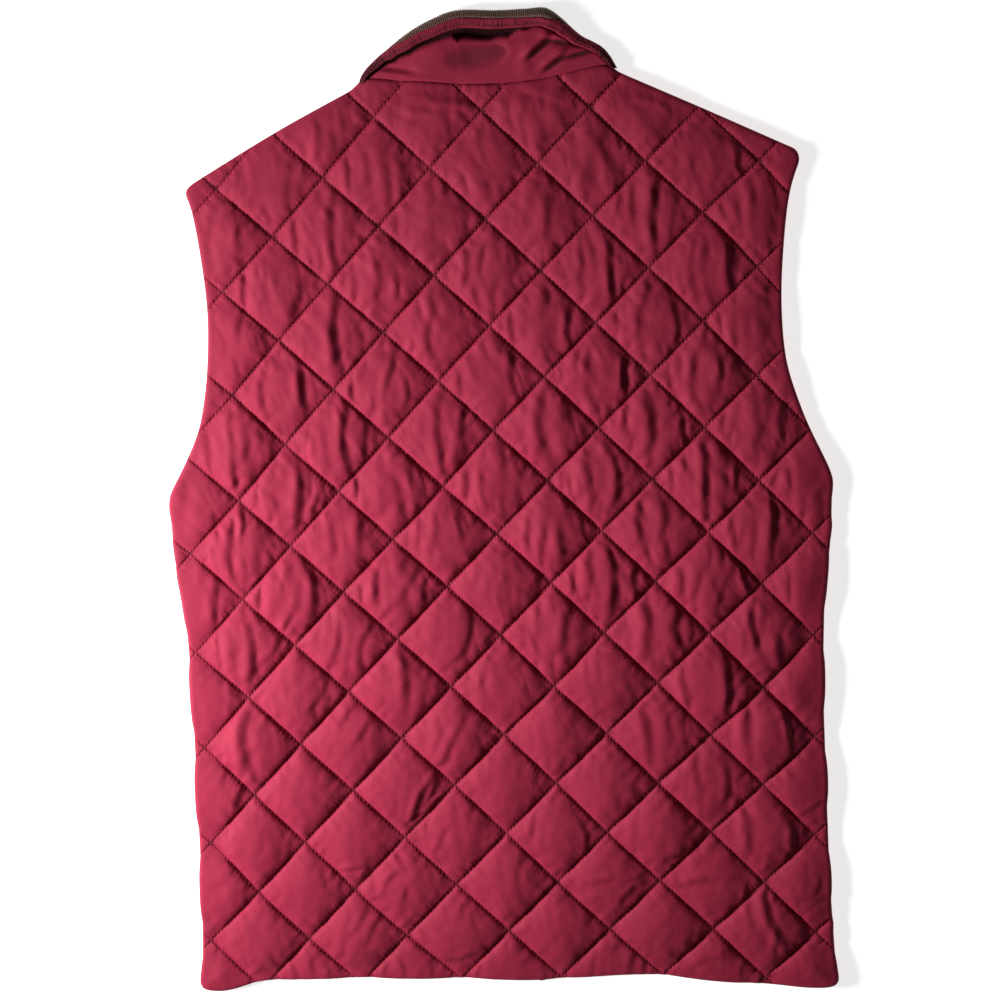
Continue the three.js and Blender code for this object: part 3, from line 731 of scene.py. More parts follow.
def satin_polyester(tree, place, colour):
    """Downproof polyester taffeta: smooth and tightly woven, with a soft satin sheen on its curves."""
    # Dye and wear change slowly over the cloth, about 45 mm a patch
    hills = {"Vector": place, "Scale": 1 / (45.5 * MM), "Detail": 3.0}
    patches = add_node(tree, "TexNoise", "Fac", hills)
    # Slubs of the yarn, about 1.4 mm, which the eye takes as a faint grain
    hills = {"Vector": place, "Scale": 1 / (1.43 * MM), "Detail": 2.0}
    grain = add_node(tree, "TexNoise", "Fac", hills)
    # The socket names of a Mix node repeat for each type, so its sockets go by number
    tones = {0: patches, 6: shade(colour, 0.92), 7: shade(colour, 1.08)}
    tone = add_node(tree, "Mix", 2, tones, data_type="RGBA")
    tones = {0: 0.16, 6: tone, 7: grain}
    grained = add_node(tree, "Mix", 2, tones, data_type="RGBA", blend_type="MULTIPLY")
    # Painted shade: cloth drawn together in a stitch line or a fold is painted darker, where little light
    # gets in
    valley = stitch_valleys(tree)
    tones = {0: valley, 6: grained, 7: shade(colour, VALLEY_SHADE_FACTORS)}
    gathered = add_node(tree, "Mix", 2, tones, data_type="RGBA")
    fold = add_node(tree, "Attribute", "Fac", attribute_name="fold_shade")
    tones = {0: fold, 6: gathered, 7: shade(colour, 0.08)}
    fold_shaded = add_node(tree, "Mix", 2, tones, data_type="RGBA")
    gloss = add_node(tree, "MapRange", "Result", {"Value": patches, "To Min": 0.7, "To Max": 0.82})
    dulled = add_node(tree, "Math", "Value", {0: gloss, 1: fold}, operation="MAXIMUM")
    # Plain weave of 0.15 mm yarns, drawn at 0.9 mm so that it shows at all
    yarns = {"Vector": place, "Scale": WAVE_PITCH / (0.9 * MM), "Distortion": 0.6}
    warp = add_node(tree, "TexWave", "Fac", yarns, bands_direction="X")
    weft = add_node(tree, "TexWave", "Fac", yarns, bands_direction="Y")
    weave = add_node(tree, "Math", "Value", {0: warp, 1: weft}, operation="MULTIPLY")
    # Crinkles of the light cloth, about 11 mm across and twice as long
    stretch = {0: place, 1: (1.0, 0.5, 1.0)}
    drawn_out = add_node(tree, "VectorMath", "Vector", stretch, operation="MULTIPLY")
    hills = {"Vector": drawn_out, "Scale": 1 / (11.1 * MM), "Detail": 2.5, "Distortion": 0.3}
    crinkle = add_node(tree, "TexNoise", "Fac", hills)
    relief = {"Strength": 0.28, "Distance": 1.4 * MM, "Height": crinkle}
    crinkled = add_node(tree, "Bump", "Normal", relief)
    relief = {"Distance": 0.5 * MM, "Height": valley, "Normal": crinkled}
    sewn = add_node(tree, "Bump", "Normal", relief, invert=True)
    relief = {"Strength": 0.12, "Distance": 0.12 * MM, "Height": weave, "Normal": sewn}
    return {
        "Base Color": fold_shaded,
        "Roughness": dulled,
        "IOR": 1.5,
        "Specular IOR Level": 0.24,
        "Sheen Weight": 0.06,
        "Sheen Roughness": 0.4,
        "Sheen Tint": (1.0, 0.32, 0.45, 1.0),
        "Normal": add_node(tree, "Bump", "Normal", relief),
    }


def cotton_corduroy(tree, place, colour):
    """Brushed cotton corduroy: cut pile in narrow wales, dull, with a painted highlight on the wale tops
    and painted shade in the grooves.
    """
    wale = add_node(tree, "Attribute", "Fac", attribute_name="wale_height")
    # Pile leans this way and that, about 6 mm a patch
    hills = {"Vector": place, "Scale": 1 / (6.25 * MM), "Detail": 3.0}
    nap = add_node(tree, "TexNoise", "Fac", hills)
    # Tufts of cut fibre, 0.6 mm
    hills = {"Vector": place, "Scale": 1 / (0.625 * MM), "Detail": 2.0}
    pile = add_node(tree, "TexNoise", "Fac", hills)
    # Painted highlight and shade: the wale's height makes the tops lighter and the grooves darker, on top
    # of the uneven nap
    nap_and_wale_shade = add_node(tree, "Math", "Value", {0: nap, 1: 0.5, 2: wale}, operation="MULTIPLY_ADD")
    tone = add_node(tree, "MapRange", "Result", {"Value": nap_and_wale_shade, "From Max": 1.4})
    tones = (shade(colour, 0.08), shade(colour, 1.5))
    relief = {"Strength": 0.5, "Distance": 0.3 * MM, "Height": pile}
    return {
        "Base Color": add_node(tree, "ValToRGB", "Color", {"Fac": tone}, tones),
        "Roughness": 0.95,
        "IOR": 1.45,
        "Specular IOR Level": 0.2,
        "Sheen Weight": 0.5,
        "Sheen Roughness": 0.5,
        "Sheen Tint": (0.85, 0.78, 0.7, 1.0),
        "Normal": add_node(tree, "Bump", "Normal", relief),
    }


def spun_thread(tree, place, colour):
    """Spun polyester sewing thread: dull, twisted, in the cloth's own red."""
    # Twist of the plies, 0.4 mm apart, which also paints each ply lighter and the gaps between them
    # darker, as painted highlight and shade
    plies = {"Vector": place, "Scale": WAVE_PITCH / (0.4 * MM), "Distortion": 1.5}
    twist = add_node(tree, "TexWave", "Fac", plies, bands_direction="DIAGONAL")
    tones = (shade(colour, 0.75), shade(colour, 1.15))
    relief = {"Strength": 0.4, "Distance": 0.05 * MM, "Height": twist}
    return {
        "Base Color": add_node(tree, "ValToRGB", "Color", {"Fac": twist}, tones),
        "Roughness": 0.75,
        "IOR": 1.5,
        "Sheen Weight": 0.2,
        "Normal": add_node(tree, "Bump", "Normal", relief),
    }


def nickel_plate(tree, place, colour):
    """Nickel-plated brass: smooth grey metal, a little dulled and scratched by use."""
    # Rub marks of the two halves, about 0.8 mm
    hills = {"Vector": place, "Scale": 1 / (0.833 * MM), "Detail": 5.0}
    marks = add_node(tree, "TexNoise", "Fac", hills)
    dulled = add_node(tree, "MapRange", "Result", {"Value": marks, "To Min": 0.28, "To Max": 0.5})
    tones = (shade(colour, 0.85), shade(colour, 1.05))
    relief = {"Strength": 0.15, "Distance": 0.02 * MM, "Height": marks}
    return {
        "Base Color": add_node(tree, "ValToRGB", "Color", {"Fac": marks}, tones),
        "Metallic": 1.0,
        "Roughness": dulled,
        "Normal": add_node(tree, "Bump", "Normal", relief),
    }


def matt_board(tree, place, glow):
    """Matt painted board, nearly white."""
    # Uneven coats of the paint, about 170 mm a patch
    mottle = add_node(tree, "TexNoise", "Fac", {"Vector": place, "Scale": 1 / (167 * MM)})
    tones = (linear("F2F1F0") + (1.0,), linear("F8F8F7") + (1.0,))
    return {
        "Base Color": add_node(tree, "ValToRGB", "Color", {"Fac": mottle}, tones),
        "Roughness": 0.9,
        "Emission Color": WHITE,
        "Emission Strength": glow,
    }


# Each colour's material, how it is finished, and its slot
FINISHES = {
    "shell": ("crimson_polyester_taffeta", satin_polyester, "shell_cloth"),
    "thread": ("crimson_polyester_thread", spun_thread, "shell_cloth"),
    "corduroy": ("brown_cotton_corduroy", cotton_corduroy, "lining_cloth"),
    "stud": ("nickel_plated_stud", nickel_plate, "stud_metal"),
}


def finish_material(colour):
    """Material of one of the user's colours."""
    name, finish, _ = FINISHES[colour]
    return material_once(name, finish, getattr(bpy.context.scene.vest_colours, colour))


# Mesh helpers


def copy_of(node):
    """Mesh of a solid with its loose triangles merged."""
    bm = bmesh.new()
    bm.from_mesh(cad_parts[node].data)
    bmesh.ops.remove_doubles(bm, verts=bm.verts, dist=MERGE)
    return bm


def make_piece(name, bm, colour, *nodes):
    """Object of a finished mesh, riding on the only body."""
    mesh = bpy.data.meshes.new(name)
    bm.to_mesh(mesh)
    bm.free()
    # The net comes with the solid's normals, which no longer fit the reshaped cloth
    stored = mesh.attributes.get("custom_normal")
    if stored:
        mesh.attributes.remove(stored)
    mesh.shade_smooth()
    mesh.materials.append(finish_material(colour))
    piece = bpy.data.objects.new(name, mesh)
    bpy.context.scene.collection.objects.link(piece)
    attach(piece, "root")
    if nodes:
        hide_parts(*nodes)
    return piece


def shade_level_faces_flat(piece):
    """Shades the pressed faces of a slab flat, so that only its edges and grooves look round."""
    for face in piece.data.polygons:
        face.use_smooth = abs(face.normal.z) < LEVEL_NORMAL


def paint(bm, name, values):
    """Stores a number or a vector at each vertex for the material to read."""
    layers = bm.verts.layers.float if values.ndim == 1 else bm.verts.layers.float_vector
    layer = layers.new(name)
    for vert, value in zip(bm.verts, values):
        vert[layer] = value


def open_edges(bm):
    """Edges of a mesh's open border."""
    return [e for e in bm.edges if e.is_boundary]


def border_loop(bm):
    """Vertices round the open border of a mesh, in order."""
    follow = {}
    for edge in open_edges(bm):
        for vert in edge.verts:
            follow.setdefault(vert, []).append(edge.other_vert(vert))
    start = next(iter(follow))
    loop = [start]
    before, here = start, follow[start][0]
    while here is not start:
        loop.append(here)
        ahead = [v for v in follow[here] if v is not before]
        before, here = here, ahead[0]
    return loop


def places(verts):
    """Coordinates of vertices as rows."""
    return np.array([v.co for v in verts])


def put(verts, coordinates):
    """Moves vertices to rows of coordinates."""
    for vert, co in zip(verts, coordinates):
        vert.co = co


def smoothed(rows, passes):
    """Closed line of points smoothed over its neighbours."""
    for _ in range(passes):
        rows = 0.5 * rows + 0.25 * (np.roll(rows, 1, axis=0) + np.roll(rows, -1, axis=0))
    return rows


def outward_directions(rows):
    """Level directions out of a closed line of points."""
    along = np.roll(rows, -3, axis=0) - np.roll(rows, 3, axis=0)
    area = np.sum(rows[:, 0] * np.roll(rows[:, 1], -1) - np.roll(rows[:, 0], -1) * rows[:, 1])
    out = np.stack([along[:, 1], -along[:, 0]], axis=1) * np.sign(area)
    return out / np.linalg.norm(out, axis=1)[:, None]


def grow_rim(bm, loop, rings):
    """Extrudes a border ring by ring to rows of coordinates, closes it and turns all faces outwards."""
    for ring in rings:
        members = set(loop)
        edges = [e for e in open_edges(bm) if e.verts[0] in members and e.verts[1] in members]
        made = bmesh.ops.extrude_edge_only(bm, edges=edges)
        fresh = {g for g in made["geom"] if isinstance(g, bmesh.types.BMVert)}
        loop = [
            next(e.other_vert(v) for e in v.link_edges if e.other_vert(v) in fresh) for v in loop
        ]
        put(loop, ring)
    bmesh.ops.triangle_fill(bm, use_beauty=True, use_dissolve=False, edges=open_edges(bm))
    bmesh.ops.recalc_face_normals(bm, faces=bm.faces)


def distances(points, loop):
    """Level distance from points to the nearest point of a line."""
    tree = KDTree(len(loop))
    for i, (x, y) in enumerate(loop):
        tree.insert((x, y, 0), i)
    tree.balance()
    return np.array([tree.find((x, y, 0))[2] for x, y in points])


def inside(points, loop):
    """Which points lie inside a closed line."""
    result = np.zeros(len(points), bool)
    x, y = points[:, 0], points[:, 1]
    for (ax, ay), (bx, by) in zip(loop, np.roll(loop, -1, axis=0)):
        if ay != by:
            crossed = ((ay > y) != (by > y)) & (x < ax + (bx - ax) * (y - ay) / (by - ay))
            result ^= crossed
    return result


# Quilting


def bow(x):
    """Rise of a quilting row over its level line."""
    return BOW_RISE - BOW_DROP * ((x - BOW_MIDDLE) / BOW_HALF) ** 2


def cloth_shift(x, y):
    """How far the quilting is drawn out of its place by the lie of the cloth."""
    right, up = np.zeros_like(x), np.zeros_like(y)
    for cx, cy, across, upwards, width in CLOTH_SHIFTS:
        near = np.exp(-(((x - cx * MM) ** 2 + (y - cy * MM) ** 2) / (width * MM) ** 2))
        right, up = right + across * MM * near, up + upwards * MM * near
    return right, up


def level_position(quilt, x, y):
    """Position in the level quilting, a whole number on a line of each direction."""
    across, down = (x - quilt.crossing_x) / quilt.half_pitch, (quilt.crossing_y - y) / quilt.half_pitch
    return (across + down) / 2, (across - down) / 2


def quilt_position(quilt, x, y):
    """Position in the quilting as it lies."""
    right, up = cloth_shift(x, y)
    return level_position(quilt, x - right, y - up - bow(x - right))


def quilt_place(quilt, a, b):
    """Point of the cloth at a position in the quilting."""
    level_x = quilt.crossing_x + quilt.half_pitch * (a + b)
    level_y = quilt.crossing_y - quilt.half_pitch * (a - b) + bow(level_x)
    x, y = level_x, level_y
    for _ in range(SHIFT_ROUNDS):
        right, up = cloth_shift(x, y)
        x, y = level_x + right, level_y + up
    return x, y


def line_spacing(quilt):
    """Distance between two quilting lines, which is also a diamond's side."""
    return quilt.half_pitch * math.sqrt(2)


def line_numbers(quilt):
    """First and last number of the quilting lines that can cross the back."""
    low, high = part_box("back_panel")
    corners = [level_position(quilt, x, y) for x in (low[0], high[0]) for y in (low[1], high[1])]
    return math.floor(min(map(min, corners))) - 1, math.ceil(max(map(max, corners))) + 1


def forked(rows):
    """The creases, with a short side fold at the end of each long one."""
    folds = list(rows)
    for cx, cy, angle, length, width, depth in rows:
        if length < FORK_FROM:
            continue
        side = 1 if math.sin(3 * cx + cy) > 0 else -1
        turn, away = math.radians(angle), FORK_SHARES[0] * length * side
        end = (cx + away * math.cos(turn), cy + away * math.sin(turn))
        size = [share * own for share, own in zip(FORK_SHARES[1:], (length, width, depth))]
        folds.append((*end, angle + FORK_ANGLE * side, *size))
    return folds


def crease_relief(x, y):
    """Sum of the listed creases, each a narrow trough beside a round ridge, slightly curved."""
    relief = np.zeros_like(x)
    for cx, cy, angle, length, width, depth in forked(CREASES):
        along, aside = along_and_aside(x, y, cx, cy, angle)
        share = along / (length * MM)
        reach = np.exp(-((CREASE_TAPER * share) ** 2))
        bend = CREASE_BEND * length * MM * math.sin(cx + 2 * cy)
        aside = (aside - bend * share**2) / (CREASE_WIDTH * width * MM)
        trough = np.exp(-(np.abs(aside) ** CREASE_SHARPNESS))
        ridge = CREASE_RIDGE * np.exp(-((aside - CREASE_RIDGE_AWAY) ** 2))
        relief += CREASE_SHARE * depth * MM * reach * (ridge - trough)
    return relief


def cloth_folds(x, y):
    """Sharp-bottomed folds that run mostly up and down, wander and branch."""
    aside = x + FOLD_WANDER * soft_noise(x, y, 3 * FOLD_SIZE, seed=21)
    large = np.abs(soft_noise(aside, y / FOLD_STRETCH, FOLD_SIZE, seed=22))
    slanted = aside + FOLD_SLANT * y
    small = np.abs(soft_noise(slanted, y / FOLD_STRETCH, SMALL_FOLD_SIZE * FOLD_SIZE, seed=26))
    return FOLD_HEIGHT * (large + SMALL_FOLD_SHARE * small - FOLD_BASE)


def line_puckers(quilt, position, other, seed):
    """Small gathers along the stitch lines of one direction, and wider ones beside them."""
    line = np.round(position)
    away = np.abs(position - line) * line_spacing(quilt)
    along = other * line_spacing(quilt)
    # Each side of each line reads a row of its own
    row = (line * 31.7 + np.sign(position - line) * 7.1) * MM
    uneven = 0.65 + 0.5 * soft_noise(along, row * 9, UNEVEN_SIZE, seed)
    stitch = np.cos(math.pi * other * CELLS_A_SIDE)
    near = away / PUCKER_AWAY * np.exp(1 - away / PUCKER_AWAY)
    close = quilt.pucker * uneven * stitch * near
    wide = soft_noise(along, row * 11, WIDE_PUCKER_SIZE, seed + 1)
    far = np.exp(-away / WIDE_PUCKER_AWAY) * (1 - np.exp(-away / WIDE_PUCKER_START))
    return close + WIDE_PUCKER_SHARE * quilt.pucker * wide * far


def back_height(quilt, x, y, edge):
    """Height of the padded back, edge being the distance from its outline."""
    a, b = quilt_position(quilt, x, y)
    u, v = a - np.floor(a), b - np.floor(b)
    full = (16 * u * (1 - u) * v * (1 - v)) ** PILLOW_FULLNESS
    fade = mix(PILLOW_AT_EDGE, 1, smoothstep(edge, 0, PILLOW_FADE))
    plump = 1 + PLUMP_RANGE * soft_noise(np.floor(a) + 0.01, np.floor(b) + 0.01, 1, seed=11)
    plump *= mix(FLAT_SHARE, FULL_SHARE, smoothstep(-y, *FULL_RANGE))
    rise = quilt.crown_rise * plump * full * fade
    soft = np.minimum(1, 2 * full) * fade
    rise += soft * crease_relief(x, y)
    rise += soft * mix(FOLDS_AT_HEM, 1, smoothstep(y, *FOLDED_RANGE)) * cloth_folds(x, y)
    rise += soft * RIPPLE_HEIGHT * soft_noise(x + 0.4 * y, y - 0.5 * x, RIPPLE_SIZE, seed=23)
    rise += soft * SWELL_HEIGHT * soft_noise(x, y, SWELL_SIZE, seed=24)
    sewn = smoothstep(edge, 0, SEWN_FADE)
    rise += sewn * line_puckers(quilt, a, b, 31)
    rise += sewn * line_puckers(quilt, b, a, 41)
    gap = line_spacing(quilt) * np.minimum(np.abs(a - np.round(a)), np.abs(b - np.round(b)))
    rise -= sewn * GROOVE_DEPTH * np.exp(-((gap / GROOVE_WIDTH) ** 2))
    return BACK_INSIDE + STITCHED_THICKNESS + np.maximum(rise, -DEEPEST_DIP)


def corner_shift(points):
    """Moves of the cloth near the corners of the back; those of the neck reach the collar's ends."""
    shift = np.zeros_like(points)
    for x, y, right, up, width in CORNERS:
        away = np.hypot(points[:, 0] - x * MM, points[:, 1] - y * MM) / (width * MM)
        shift += np.exp(-(away**2))[:, None] * np.array([right, up]) * MM
    return shift


def top_net(node):
    """Upper net of the quilted back, without its rim and its underside."""
    bm = copy_of(node)
    below = {v for v in bm.verts if v.co.z < BACK_INSIDE + MERGE * 5}
    for _ in range(1, BACK_RIM_ROWS):
        below |= {e.other_vert(v) for v in below for e in v.link_edges}
    lower = [f for f in bm.faces if any(v in below for v in f.verts)]
    bmesh.ops.delete(bm, geom=lower, context="FACES")
    return bm


class VEST_OT_quilted_back(bpy.types.Operator):
    """Pads the back over its solid, with creases and a rounded rim"""

    bl_idname = "vest.quilted_back"
    bl_label = "Quilted back"

    def execute(self, context):
        quilt = context.scene.vest_quilting
        bm = top_net("back_panel")
        bmesh.ops.subdivide_edges(bm, edges=bm.edges, cuts=NET_CUTS, use_grid_fill=True)
        loop = border_loop(bm)
        border = smoothed(places(loop)[:, :2], OUTLINE_PASSES)
        border = border + corner_shift(border)
        points = places(bm.verts)
        points[:, :2] += corner_shift(points[:, :2])
        edge = distances(points[:, :2], border)
        x, y = self.gathered(quilt, points[:, 0], points[:, 1], edge)
        height = back_height(quilt, x, y, edge + BACK_RIM_INSET)
        put(bm.verts, np.stack([x, y, height], axis=1))
        rim_z = back_height(quilt, border[:, 0], border[:, 1], np.full(len(border), BACK_RIM_INSET))
        put(loop, np.column_stack([border, rim_z]))
        out = outward_directions(smoothed(border, DIRECTION_PASSES))
        rings = [
            np.column_stack([border + out * away * MM, mix(BACK_INSIDE, rim_z, share)])
            for away, share in BACK_RIM
        ]
        grow_rim(bm, loop, rings)
        points = places(bm.verts)
        a, b = quilt_position(quilt, points[:, 0], points[:, 1])
        paint(bm, "quilt_place", np.column_stack([a + 0.5, b + 0.5, np.zeros(len(a))]))
        piece = make_piece("quilted_back", bm, "shell", "back_panel")
        return {"FINISHED"}

    def gathered(self, quilt, x, y, edge):
        """Net drawn closer to the stitch lines, and laid as the cloth lies away from its edge."""
        # The net's own points sit on the level quilting
        a, b = level_position(quilt, x, y)
        u, v = a - np.floor(a), b - np.floor(b)
        pull = NET_PULL / (2 * math.pi)
        a_moved = a - pull * np.sin(2 * math.pi * u) * np.sin(math.pi * v) ** 2
        b_moved = b - pull * np.sin(2 * math.pi * v) * np.sin(math.pi * u) ** 2
        new_x, new_y = quilt_place(quilt, a_moved, b_moved)
        share = smoothstep(edge, 0, NET_PULL_FADE)
        return mix(x, new_x, share), mix(y, new_y, share)


def stitch_mesh(length, width):
    """One stitch, a short bead of thread along X."""
    bm = bmesh.new()
    bmesh.ops.create_icosphere(bm, subdivisions=1, radius=0.5)
    bmesh.ops.scale(bm, vec=(length, width, width), verts=bm.verts)
    mesh = bpy.data.meshes.new("one_stitch")
    bm.to_mesh(mesh)
    bm.free()
    return mesh


def sew(bm, stitch, points, directions):
    """Adds a copy of a stitch at each point, along a direction."""
    for point, direction in zip(points, directions):
        turned = Vector(direction).to_track_quat("X", "Z").to_matrix().to_4x4()
        place = Matrix.Translation(Vector(point)) @ turned
        stitch.transform(place)
        bm.from_mesh(stitch)
        stitch.transform(place.inverted())


class VEST_OT_quilting_stitches(bpy.types.Operator):
    """Sews the thread along all quilting lines of the back"""

    bl_idname = "vest.quilting_stitches"
    bl_label = "Quilting stitches"

    def execute(self, context):
        quilt = context.scene.vest_quilting
        rim = top_net("back_panel")
        loop = smoothed(places(border_loop(rim))[:, :2], 1)
        rim.free()
        first, last = line_numbers(quilt)
        steps = round(line_spacing(quilt) / quilt.stitch_pitch)
        along = (np.arange((last - first) * steps) + 0.5) / steps + first
        stitch = stitch_mesh(STITCH_SHARE * quilt.stitch_pitch, quilt.thread_width)
        bm = bmesh.new()
        for line in range(first, last + 1):
            for swap in (False, True):
                start = self.points(quilt, line, along - STITCH_REACH / steps, swap)
                end = self.points(quilt, line, along + STITCH_REACH / steps, swap)
                middle = (start + end) / 2
                kept = inside(middle[:, :2], loop)
                sew(bm, stitch, middle[kept], (end - start)[kept])
        bpy.data.meshes.remove(stitch)
        make_piece("back_quilting_stitches", bm, "thread")
        return {"FINISHED"}

    def points(self, quilt, line, along, swap):
        """Points on one quilting line, on top of the cloth."""
        fixed = np.full(len(along), float(line))
        a, b = (along, fixed) if swap else (fixed, along)
        x, y = quilt_place(quilt, a, b)
        z = back_height(quilt, x, y, np.full(len(x), PILLOW_FADE))
        return np.stack([x, y, z + STITCH_LIFT], axis=1)


# Fronts


def quilting_grooves(bm, quilt):
    """Cuts the flat underside along the quilting lines and presses them in."""
    side = line_spacing(quilt)
    first, last = line_numbers(quilt)
    root = math.sqrt(0.5)
    for slant in (1, -1):
        normal = Vector((root, -slant * root, 0))
        home = normal.dot(Vector((quilt.crossing_x, quilt.crossing_y, 0)))
        for line in range(first, last + 1):
            for aside in (-FRONT_GROOVE_HALF_WIDTH, 0, FRONT_GROOVE_HALF_WIDTH):
                bmesh.ops.bisect_plane(
                    bm,
                    geom=bm.verts[:] + bm.edges[:] + bm.faces[:],
                    dist=MERGE,
                    plane_co=normal * (home + line * side + aside),
                    plane_no=normal,
                )
    for vert in bm.verts:
        gap = min(abs(k - round(k)) * side for k in level_position(quilt, vert.co.x, vert.co.y))
        if gap < MERGE * 20 and not vert.is_boundary:
            vert.co.z += FRONT_GROOVE_DEPTH


class VEST_OT_fronts(bpy.types.Operator):
    """Makes the two fronts, pressed flat under the back"""

    bl_idname = "vest.fronts"
    bl_label = "Fronts"

    def execute(self, context):
        for side in ("left", "right"):
            self.front(context.scene.vest_quilting, side)
        return {"FINISHED"}

    def front(self, quilt, side):
        """One front: its flat underside, grown upwards into a rounded slab."""
        node = f"front_{side}"
        bm = copy_of(node)
        upper = [f for f in bm.faces if max(v.co.z for v in f.verts) > MERGE * 5]
        bmesh.ops.delete(bm, geom=upper, context="FACES")
        bmesh.ops.subdivide_edges(bm, edges=open_edges(bm), cuts=FRONT_BORDER_CUTS)
        quilting_grooves(bm, quilt)
        loop = border_loop(bm)
        border = places(loop)[:, :2]
        x, y = border[:, 0], border[:, 1]
        opening = np.abs(x) < OPENING_HALF_WIDTH
        neckline = (np.abs(x) < NECKLINE_HALF_WIDTH) & (y > NECKLINE_BOTTOM)
        loose = np.where(opening | neckline, 0.0, 1.0)
        out = outward_directions(smoothed(border, FRONT_DIRECTION_PASSES))
        border = mix(border, smoothed(border, FRONT_OUTLINE_PASSES), loose[:, None])
        put(loop, np.column_stack([border, np.zeros(len(border))]))
        rings = [
            np.column_stack([border + out * (loose * away * MM)[:, None], np.full(len(border), z * MM)])
            for away, z in FRONT_RIM
        ]
        grow_rim(bm, loop, rings)
        piece = make_piece(f"{side}_front", bm, "shell", node)
        shade_level_faces_flat(piece)


def rounded_slab(name, node, least_angle):
    """Plain cloth in the shape of a solid, with its edges rounded from an angle upwards."""
    bm = copy_of(node)
    edges = [e for e in bm.edges if e.calc_face_angle() >= least_angle]
    bmesh.ops.bevel(
        bm, geom=edges, offset=BAND_EDGE, affect="EDGES", segments=3, profile=0.5, material=-1
    )
    return make_piece(name, bm, "shell", node)


class VEST_OT_opening(bpy.types.Operator):
    """Makes the two bands of the front opening and plates their press studs"""

    bl_idname = "vest.opening"
    bl_label = "Front opening"

    def execute(self, context):
        for side in ("left", "right"):
            piece = rounded_slab(f"{side}_band", f"placket_{side}", 0)
            shade_level_faces_flat(piece)
        plate = finish_material("stud")
        for node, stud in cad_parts.items():
            if node.startswith("stud_"):
                stud.data.materials.clear()
                stud.data.materials.append(plate)
        return {"FINISHED"}


class VEST_OT_front_collar(bpy.types.Operator):
    """Makes the rest of the collar, round the front neck"""

    bl_idname = "vest.front_collar"
    bl_label = "Front collar"

    def execute(self, context):
        for side in ("left", "right"):
            piece = rounded_slab(f"{side}_front_collar", f"collar_front_{side}", SHARP_EDGE)
        return {"FINISHED"}


# Collar at the back of the neck


class SmoothLine:
    """Smooth line through points in mm, read by its share of length."""

    def __init__(self, points, steps=60):
        rows = np.array(points, float) * MM
        padded = np.vstack([rows[:1], rows, rows[-1:]])
        part = np.arange(steps)[:, None] / steps
        pieces = []
        for p, q, r, s in zip(padded, padded[1:], padded[2:], padded[3:]):
            out, back = (r - p) / 2, (s - q) / 2
            cubed, squared = 2 * q - 2 * r + out + back, -3 * q + 3 * r - 2 * out - back
            pieces.append(cubed * part**3 + squared * part**2 + out * part + q)
        self.rows = np.vstack([*pieces, rows[-1:]])
        gaps = np.linalg.norm(np.diff(self.rows, axis=0), axis=1)
        self.lengths = np.concatenate([[0], np.cumsum(gaps)])
        self.length = self.lengths[-1]

    def at(self, share):
        """Points at shares of the length."""
        wanted = np.clip(share, 0, 1) * self.length
        return np.stack([np.interp(wanted, self.lengths, self.rows[:, k]) for k in (0, 1)], axis=1)

    def along(self, share):
        """Directions at shares of the length."""
        step = 0.002
        gap = self.at(np.asarray(share) + step) - self.at(np.asarray(share) - step)
        return gap / np.linalg.norm(gap, axis=1)[:, None]


def collar_stations(share):
    """Seam, direction to the roll and sizes of the collar at shares of its length."""
    seam_line, roll_line = SmoothLine(NECK_SEAM), SmoothLine(ROLL_LINE)
    width = NECK_SEAM[-1][0] - NECK_SEAM[0][0]
    ends = [(end - NECK_SEAM[0][0]) / width for end in COLLAR_ENDS]
    at = mix(ends[0], ends[1], share)
    along = seam_line.along(at)
    seam = seam_line.at(at) + COLLAR_SEAM_GAP * np.stack([-along[:, 1], along[:, 0]], axis=1)
    out = roll_line.at(share) - seam
    length = np.linalg.norm(out, axis=1)
    rows = np.array(COLLAR_ROWS, float)
    after = np.clip(np.searchsorted(rows[:, 0], share), 1, len(rows) - 1)
    before = after - 1
    span = rows[after, 0] - rows[before, 0]
    part = smoothstep((share - rows[before, 0]) / span, 0, 1)
    radius, bottom, end_angle, overhang, slot, height = (
        mix(rows[before, k], rows[after, k], part) for k in range(1, 7)
    )
    radius = radius * MM
    centre_r = length - radius - COLLAR_WALL / 2
    return {
        "seam": seam,
        "direction": out / length[:, None],
        "radius": radius,
        "centre_r": centre_r,
        "centre_z": bottom * MM + radius + COLLAR_WALL / 2,
        "end_angle": end_angle,
        "overhang": overhang * MM,
        "slot_at": centre_r - overhang * MM - slot * MM,
        "height": height * MM,
    }


def at_station(station, r, z):
    """Points at a distance from the seam and a height."""
    flat = station["seam"] + station["direction"] * r[:, None]
    return np.column_stack([flat, z])


def layer_line(station, level, along):
    """Middle of a collar layer, of the shell at level 1 or the lining at 0: the stand, then the roll."""
    radius = station["radius"] - level * COLLAR_LAYER_STEP
    start = SHELL_SEAM_Z - (1 - level) * COLLAR_LAYER_STEP
    low = station["centre_z"] - radius
    stand = np.clip(along * 2, 0, 1)
    plain = mix(start, low, smoothstep(stand / STAND_SLOPE_SHARE, 0, 1))
    # Shell: rises as far as the slot beneath the edge strip, and drops into it
    reach = stand * station["centre_r"]
    full = mix(start, station["height"], smoothstep(stand, 0, STAND_RISE_SHARE))
    high = mix(full, low, smoothstep(reach, station["slot_at"], station["slot_at"] + SLOT_SLOPE))
    stand_z = mix(plain, high, level)
    turn = np.radians(mix(-90, station["end_angle"], np.clip(along * 2 - 1, 0, 1)))
    rolled = along > 0.5
    r = np.where(rolled, station["centre_r"] + radius * np.cos(turn), reach)
    z = np.where(rolled, station["centre_z"] + radius * np.sin(turn), stand_z)
    return r, z


